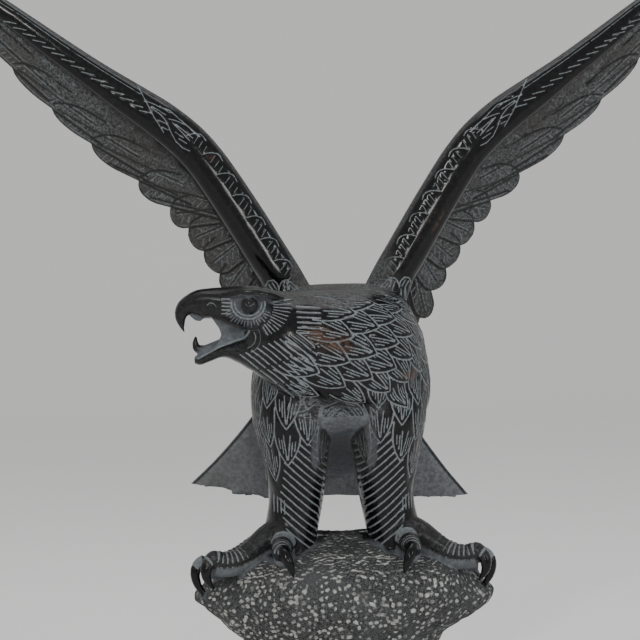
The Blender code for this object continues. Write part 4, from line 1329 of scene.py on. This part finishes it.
def mark_finish(carving):
    """Where the stone is left grey, either chiselled or honed, where brown stains show, and where painted
    light pales the tail.
    """
    x, y, z = carving.place.T
    facing_x, facing_y, facing_z = carving.facing.T
    side_x = np.abs(x)
    leg_x = np.abs(x - LEG_MIDDLE)
    head_y = np.abs(y - HEAD_PLANE)
    # Wing sheets beyond the arms' crease
    high, across = across_arms(carving)
    sheet = ease(across, 0.97, 1.04) * ease(y[high], 1.6, 2.8)
    sheet = np.maximum(sheet, ease(facing_y[high], 0.1, 0.4))
    beyond = (z[high] > 35.0) | (side_x[high] > 10.4) | (y[high] > 8.8)
    margin = ease(across, 0.13, 0.06) * ease(facing_y[high], 0.0, -0.2)
    carving.more("matt", np.maximum(sheet, 0.7 * margin) * beyond, high)
    # The back and flanks of the bird are left as the chisel and rasp made them
    flanks = (z > 4.0) & (z < 35.5) & (side_x < 12.5)
    carving.more("matt", ease(facing_y, 0.12, 0.5) * ease(y, -5.0, -2.0) * flanks)
    # Crown, nape and the saddle between the wings, above an edge that steps down along x
    edge = np.interp(x, (-13.6, -12.0, -9.0, -6.7, -3.1, -0.1, 2.4, 4.5),
                     (34.6, 33.9, 33.55, 32.5, 31.3, 31.0, 32.4, 33.3))
    crown = ease(z - edge, -0.15, 0.35) * ease(facing_z, 0.1, 0.45) * (x > -14.5) * (side_x < 13) * (z < 35.4)
    crown = np.maximum(crown, ease(z, 32.7, 33.4) * ease(side_x, 7.5, 5.0) * (x > -6.0))
    carving.more("matt", crown)
    carving.line *= 1.0 - 0.3 * crown
    # Under the neck, the arch between the legs and the thighs' inner sides
    under = ease(-facing_z, 0.72, 0.92) * (z > 17.0) * (z < 30.0) * (x > -11.0) * (y < 3.0)
    carving.more("matt", 0.5 * under)
    arch = ease(-facing_z, 0.05, 0.4) * (z > 12.0) * (z < 18.3) * (leg_x < 4.0)
    carving.more("honed", arch * (np.abs(facing_x) < 0.75))
    carving.line *= 1.0 - 0.9 * arch
    inner = ease(np.abs(facing_x), 0.45, 0.75) * (leg_x < 4.6) * (y < 4.0)
    carving.more("matt", 0.55 * (inner * ease(z, 9.0, 13.0) * ease(z, 19.0, 17.0)))
    # Tail, rump and the hollow between the legs
    tail_y = np.interp(z, [r[0] for r in TAIL][::-1], [r[3] for r in TAIL][::-1])
    tail = (z < 21.5) & (y > tail_y - 2.6) & ((z < 16) | (side_x > 8.4) | (y > 9.5)) & (z > 5.0)
    rump = (z < 18.5) & (z > 6.5) & (leg_x < 4.2) & (y > -2.5)
    carving.more("honed", np.maximum(tail * 1.0, rump * ease(z, 18.5, 17.0)))
    # On the tail the matt mark also brings in the paler slate: painted light that lifts the down-facing tail
    # out of the lamps' shade
    carving.more("matt", tail * ease(z, 20.0, 16.0))
    # Mouth, tongue, gape and the stone round the eyes
    mouth = (x < -11.6) & (x > -18.9) & (head_y < 2.3)
    roof = np.interp(x, (-18.9, -17.2, -16.0, -12.5), (31.25, 30.6, 30.45, 29.05))
    floor = np.interp(x, (-18.0, -15.0, -12.3), (25.7, 27.2, 28.05))
    carving.more("honed", mouth & (z < roof) & (z > floor) & ~((x < -17.55) & (z < 28.6) & (z > 26.5)))
    carving.more("matt", 0.15 * (ease(x, -9.0, -11.5) * (z > 24.0) * (z < 36.0)))
    ring = np.hypot((x - EYE_X + 0.2) / RING_WIDE, (z - EYE_Z - 0.25) / RING_HIGH)
    round_eye = np.hypot(x - EYE_X, z - EYE_Z) > 1.02
    carving.more("honed", 0.6 * ((ring < 1.0) & round_eye & (z < EYE_Z + 1.25) & (head_y > 1.5)))
    haze = ease(ring, 1.75, 1.0) * (z < EYE_Z + 1.1) * (z > 28.0) * (x > EYE_X - 2.6) * (head_y > 1.5)
    carving.more("honed", 0.3 * haze * round_eye)
    for stain_x, stain_z, size in STAINS:
        away = np.hypot(x - stain_x, (z - stain_z) * 1.7) / size
        carving.more("stain", ease(away, 1.3, 0.2) * (y < 2.5))


def carved_skin():
    """The finely fused forms, engraved, roughened and thinned to the piece's triangles."""
    skin = fused(gather_forms(), VOXEL, SMOOTH_ROUNDS)
    holder = in_scene("fine_skin", skin)
    bpy.context.view_layer.update()
    carving = Carving(skin, BVHTree.FromObject(holder, bpy.context.evaluated_depsgraph_get()))
    for engrave in (leg_strokes, back_feathers, thigh_feathers, belly_strokes, chest_feathers, head_lines,
                    wing_feather_lines, sheet_scratches, clear_arms, wing_lines, tail_lines,
                    mark_feet_and_rock, mark_finish, roughen_rock):
        engrave(carving)
    bpy.data.objects.remove(holder, do_unlink=True)

    # The relief is drawn out while the skin is thinned, so that more corners stay along the lines
    # Grooves filled with painted shade lose their pale line and are cut deeper
    carving.line *= 1.0 - carving.dark
    depth = carving.rise - LINE_DEPTH * carving.line - GROOVE_DEPTH * carving.dark
    relief = carving.facing * depth[:, None]
    moved = carving.place + relief
    drawn_out = carving.place + relief * DRAWN_OUT
    skin.vertices.foreach_set("co", drawn_out.astype(np.float32).ravel())
    skin.update()
    skin.calc_loop_triangles()
    worker = in_scene("thinning", skin)
    thin = worker.modifiers.new("thin", "DECIMATE")
    thin.ratio = SKIN_TRIANGLES / max(len(skin.loop_triangles), SKIN_TRIANGLES)
    thin.use_collapse_triangulate = True
    light = evaluated(worker)
    flat = np.empty(len(light.vertices) * 3, np.float32)
    light.vertices.foreach_get("co", flat)
    spots = flat.reshape(-1, 3).astype(float)
    nearest = nearest_corner(drawn_out, spots)
    spots += moved[nearest] - drawn_out[nearest]
    light.vertices.foreach_set("co", spots.astype(np.float32).ravel())
    light.update()
    return light, carving, nearest


def nearest_corner(places, spots):
    """Index of the place nearest to each spot."""
    tree = KDTree(len(places))
    for index, place in enumerate(places):
        tree.insert(place, index)
    tree.balance()
    return np.array([tree.find(spot)[1] for spot in spots])


def give_marks(light, carving, nearest):
    """Hand each of the thinned skin's corners the marks of the fine corner nearest to it."""
    for name in MARKS:
        values = getattr(carving, name)[nearest].astype(np.float32)
        layer = light.attributes.new(name, "FLOAT", "POINT")
        layer.data.foreach_set("value", values)


def stone_material():
    """Black stone: polished, unpolished, incised, stained, and rough with pale pecks; with painted shade in
    its grooves and painted light on the tail.
    """
    material = bpy.data.materials.new("carved_black_stone")
    material.use_nodes = True
    nodes, links = material.node_tree.nodes, material.node_tree.links
    shader = nodes["Principled BSDF"]

    def fill(node, inputs):
        for name, value in inputs.items():
            if isinstance(value, (int, float, tuple)):
                node.inputs[name].default_value = value
            else:
                links.new(value, node.inputs[name])

    def make(kind, output, inputs, **settings):
        node = nodes.new("ShaderNode" + kind)
        for name, value in settings.items():
            setattr(node, name, value)
        fill(node, inputs)
        return node.outputs[output]

    place = make("TexCoord", "Object", {})

    def grain(scale, detail=4.0, rough=0.6):
        inputs = {"Scale": scale, "Detail": detail, "Roughness": rough, "Vector": place}
        return make("TexNoise", "Fac", inputs)

    def blend(share, first, second):
        return make("Mix", "Result", {"Factor": share, "A": first, "B": second}, data_type="RGBA")

    def combine(operation, first, second):
        return make("Math", 0, {0: first, 1: second}, operation=operation)

    def stepped(value, low, high, start=0.0, end=1.0):
        inputs = {"From Min": low, "From Max": high, "To Min": start, "To Max": end, "Value": value}
        return make("MapRange", "Result", inputs, interpolation_type="SMOOTHSTEP")

    line, dark, matt, honed, rocky, peck, stain = (
        make("Attribute", "Fac", {}, attribute_name=name) for name in MARKS)
    broad, fine, dust = grain(11.0), grain(190.0, 6.0), grain(620.0, 3.0)
    chisel = grain(330.0, 2.0, 0.75)

    polished = blend(stepped(fine, 0.42, 0.72), (0.0026, 0.0028, 0.0032, 1), (0.008, 0.0084, 0.0092, 1))
    chiselled = blend(stepped(chisel, 0.36, 0.66), (0.026, 0.027, 0.028, 1), (0.100, 0.104, 0.106, 1))
    warm = blend(stepped(fine, 0.35, 0.7), (0.036, 0.034, 0.031, 1), (0.068, 0.063, 0.056, 1))
    chiselled = blend(stepped(broad, 0.42, 0.62, 0.0, 0.6), chiselled, warm)
    slate = blend(stepped(fine, 0.3, 0.7), (0.052, 0.063, 0.076, 1), (0.115, 0.128, 0.142, 1))
    slate = blend(stepped(broad, 0.4, 0.65, 0.0, 0.55), slate, (0.068, 0.072, 0.074, 1))
    # Paler slate where honed stone is also left matt; on the tail it is painted light, lifting the
    # down-facing tail out of shade
    matt_slate_and_tail_light = blend(stepped(fine, 0.3, 0.7), (0.112, 0.120, 0.130, 1), (0.215, 0.226, 0.236, 1))
    matt_slate_and_tail_light = blend(stepped(broad, 0.4, 0.65, 0.0, 0.6), matt_slate_and_tail_light, (0.130, 0.130, 0.126, 1))
    slate = blend(matt, slate, matt_slate_and_tail_light)
    # Near-black of the rock, also laid into grooves as painted shade
    rock_black_and_groove_shade = (0.010, 0.0105, 0.011, 1)
    rock = blend(stepped(dust, 0.38, 0.62), rock_black_and_groove_shade, (0.084, 0.086, 0.088, 1))
    rock = blend(stepped(broad, 0.44, 0.66, 0.0, 0.5), rock, (0.075, 0.078, 0.08, 1))
    chalk = blend(stepped(dust, 0.3, 0.72), (0.20, 0.202, 0.195, 1), (0.54, 0.54, 0.51, 1))
    rock = blend(stepped(peck, 0.15, 0.85), rock, chalk)
    pale = blend(stepped(dust, 0.3, 0.7), (0.098, 0.116, 0.128, 1), (0.235, 0.256, 0.262, 1))
    brown = (0.085, 0.045, 0.03, 1)

    line_show = combine("MULTIPLY", stepped(line, 0.22, 0.68), stepped(fine, 0.2, 0.5, 0.65, 1.0))
    faint = combine("MULTIPLY", line_show, stepped(matt, 0.0, 1.0, 1.0, 0.62))
    colour = blend(matt, polished, chiselled)
    colour = blend(honed, colour, slate)
    colour = blend(faint, colour, pale)
    # Painted shade: grooves take the near-black
    colour = blend(combine("MULTIPLY", dark, 0.85), colour, rock_black_and_groove_shade)
    colour = blend(combine("MULTIPLY", stain, stepped(fine, 0.4, 0.58, 0.1, 0.8)), colour, brown)
    colour = blend(rocky, colour, rock)

    unpolished = combine("MAXIMUM", matt, honed)
    rough = combine("ADD", stepped(fine, 0.3, 0.8, 0.11, 0.2), combine("MULTIPLY", unpolished, 0.55))
    rough = combine("MAXIMUM", rough, combine("MULTIPLY", line_show, 0.72))
    rough = combine("MAXIMUM", rough, combine("MULTIPLY", rocky, 0.84))
    rough = combine("MINIMUM", rough, 0.9)
    height = combine("MULTIPLY", chisel, combine("MAXIMUM", combine("MAXIMUM", rocky, matt), 0.04))
    normal = make("Bump", "Normal", {"Distance": 0.0006, "Strength": 0.5, "Height": height})
    fill(shader, {"Base Color": colour, "Roughness": rough, "Specular IOR Level": 0.25, "Normal": normal})
    return material


def make_statue():
    """The carved piece, in metres in the frame, riding where the solid was."""
    light, carving, nearest = carved_skin()
    give_marks(light, carving, nearest)
    light.transform(Matrix.Translation((0.0, 0.0, FEET_HEIGHT)) @ Matrix.Scale(UNIT, 4))
    work = bmesh.new()
    work.from_mesh(light)
    keep_main_skin(work)
    for corner in work.verts:
        if corner.co.z < FLAT_BELOW:
            corner.co.z = 0.0
    bmesh.ops.recalc_face_normals(work, faces=work.faces)
    work.to_mesh(light)
    work.free()
    light.name = "carved_eagle"
    light.materials.clear()
    light.materials.append(stone_material())
    light.shade_smooth()
    statue = in_scene("carved_eagle", light)
    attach(statue, "root")
    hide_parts(NODE)


# Floor and wall, in metres
FLOOR_REACH = 6.5
WALL_CURVE = 1.5
WALL_HEIGHT = 5.0
WALL_STEPS = 12


def make_floor():
    """A plain pale floor that curves up into a wall behind."""
    profile = [(-FLOOR_REACH, 0.0), (FLOOR_REACH, 0.0)]
    for k in range(1, WALL_STEPS + 1):
        angle = math.pi / 2 * k / WALL_STEPS
        profile.append((FLOOR_REACH + WALL_CURVE * math.sin(angle), WALL_CURVE * (1.0 - math.cos(angle))))
    profile.append((FLOOR_REACH + WALL_CURVE, WALL_HEIGHT))
    corners = [(x, y, z) for x in (-FLOOR_REACH, FLOOR_REACH) for y, z in profile]
    count = len(profile)
    faces = [(k, k + 1, count + k + 1, count + k) for k in range(count - 1)]
    data = bpy.data.meshes.new("studio_floor")
    data.from_pydata(corners, [], faces)
    data.shade_smooth()
    paper = bpy.data.materials.new("pale_paper")
    paper.use_nodes = True
    shader = paper.node_tree.nodes["Principled BSDF"]
    shader.inputs["Base Color"].default_value = (0.93, 0.92, 0.91, 1)
    shader.inputs["Roughness"].default_value = 0.9
    data.materials.append(paper)
    in_scene("studio_floor", data)


def make_light(name, place, target, size, power, colour):
    data = bpy.data.lights.new(name, "AREA")
    data.shape = "RECTANGLE"
    data.size, data.size_y = size
    data.energy = power
    data.color = colour
    lamp = in_scene(name, data)
    lamp.location = place
    lamp.rotation_euler = (Vector(target) - Vector(place)).to_track_quat("-Z", "Y").to_euler()


def make_lights():
    make_light("key", (-1.1, -2.7, 2.0), (0, 0, 0.55), (0.22, 0.8), 21.0, (1.0, 0.985, 0.96))
    make_light("front", (0.1, -2.75, 0.85), (0, 0, 0.55), (0.4, 0.4), 9.0, (1.0, 0.99, 0.97))
    make_light("fill", (2.1, -2.2, 1.3), (0, 0, 0.5), (0.3, 1.0), 13.0, (0.94, 0.97, 1.0))
    make_light("top", (0.0, -0.2, 2.9), (0, 0, 0.4), (1.8, 1.4), 22.0, (0.97, 0.98, 1.0))
    world = bpy.data.worlds.new("soft_surround")
    world.use_nodes = True
    background = world.node_tree.nodes["Background"]
    background.inputs["Color"].default_value = (0.68, 0.68, 0.68, 1)
    background.inputs["Strength"].default_value = 0.91
    bpy.context.scene.world = world


# The photo's view: turned and rolled a little to the left, level with the neck
VIEW_TURN, VIEW_ROLL = math.radians(4.0), math.radians(1.4)
VIEW_DISTANCE = 2.4
VIEW_AIM = (-0.025, 0.0, 0.30)
PICTURE_WIDTH = 0.80
FILM_WIDTH = 36.0


def make_camera():
    ahead = Vector((math.sin(VIEW_TURN), math.cos(VIEW_TURN), 0.0))
    right = Vector((math.cos(VIEW_TURN), -math.sin(VIEW_TURN), 0.0))
    up = Vector((0.0, 0.0, 1.0))
    rolled_right = right * math.cos(VIEW_ROLL) - up * math.sin(VIEW_ROLL)
    rolled_up = up * math.cos(VIEW_ROLL) + right * math.sin(VIEW_ROLL)
    place = Vector(VIEW_AIM) + Vector((0.0, 0.0, FEET_HEIGHT)) - ahead * VIEW_DISTANCE
    turn = Matrix((rolled_right, rolled_up, -ahead)).transposed().to_4x4()
    turn.translation = place
    data = bpy.data.cameras.new("camera")
    data.sensor_width = FILM_WIDTH
    data.lens = FILM_WIDTH * VIEW_DISTANCE / PICTURE_WIDTH
    camera = in_scene("camera", data)
    camera.matrix_world = turn
    bpy.context.scene.camera = camera


make_statue()
make_floor()
make_lights()
make_camera()
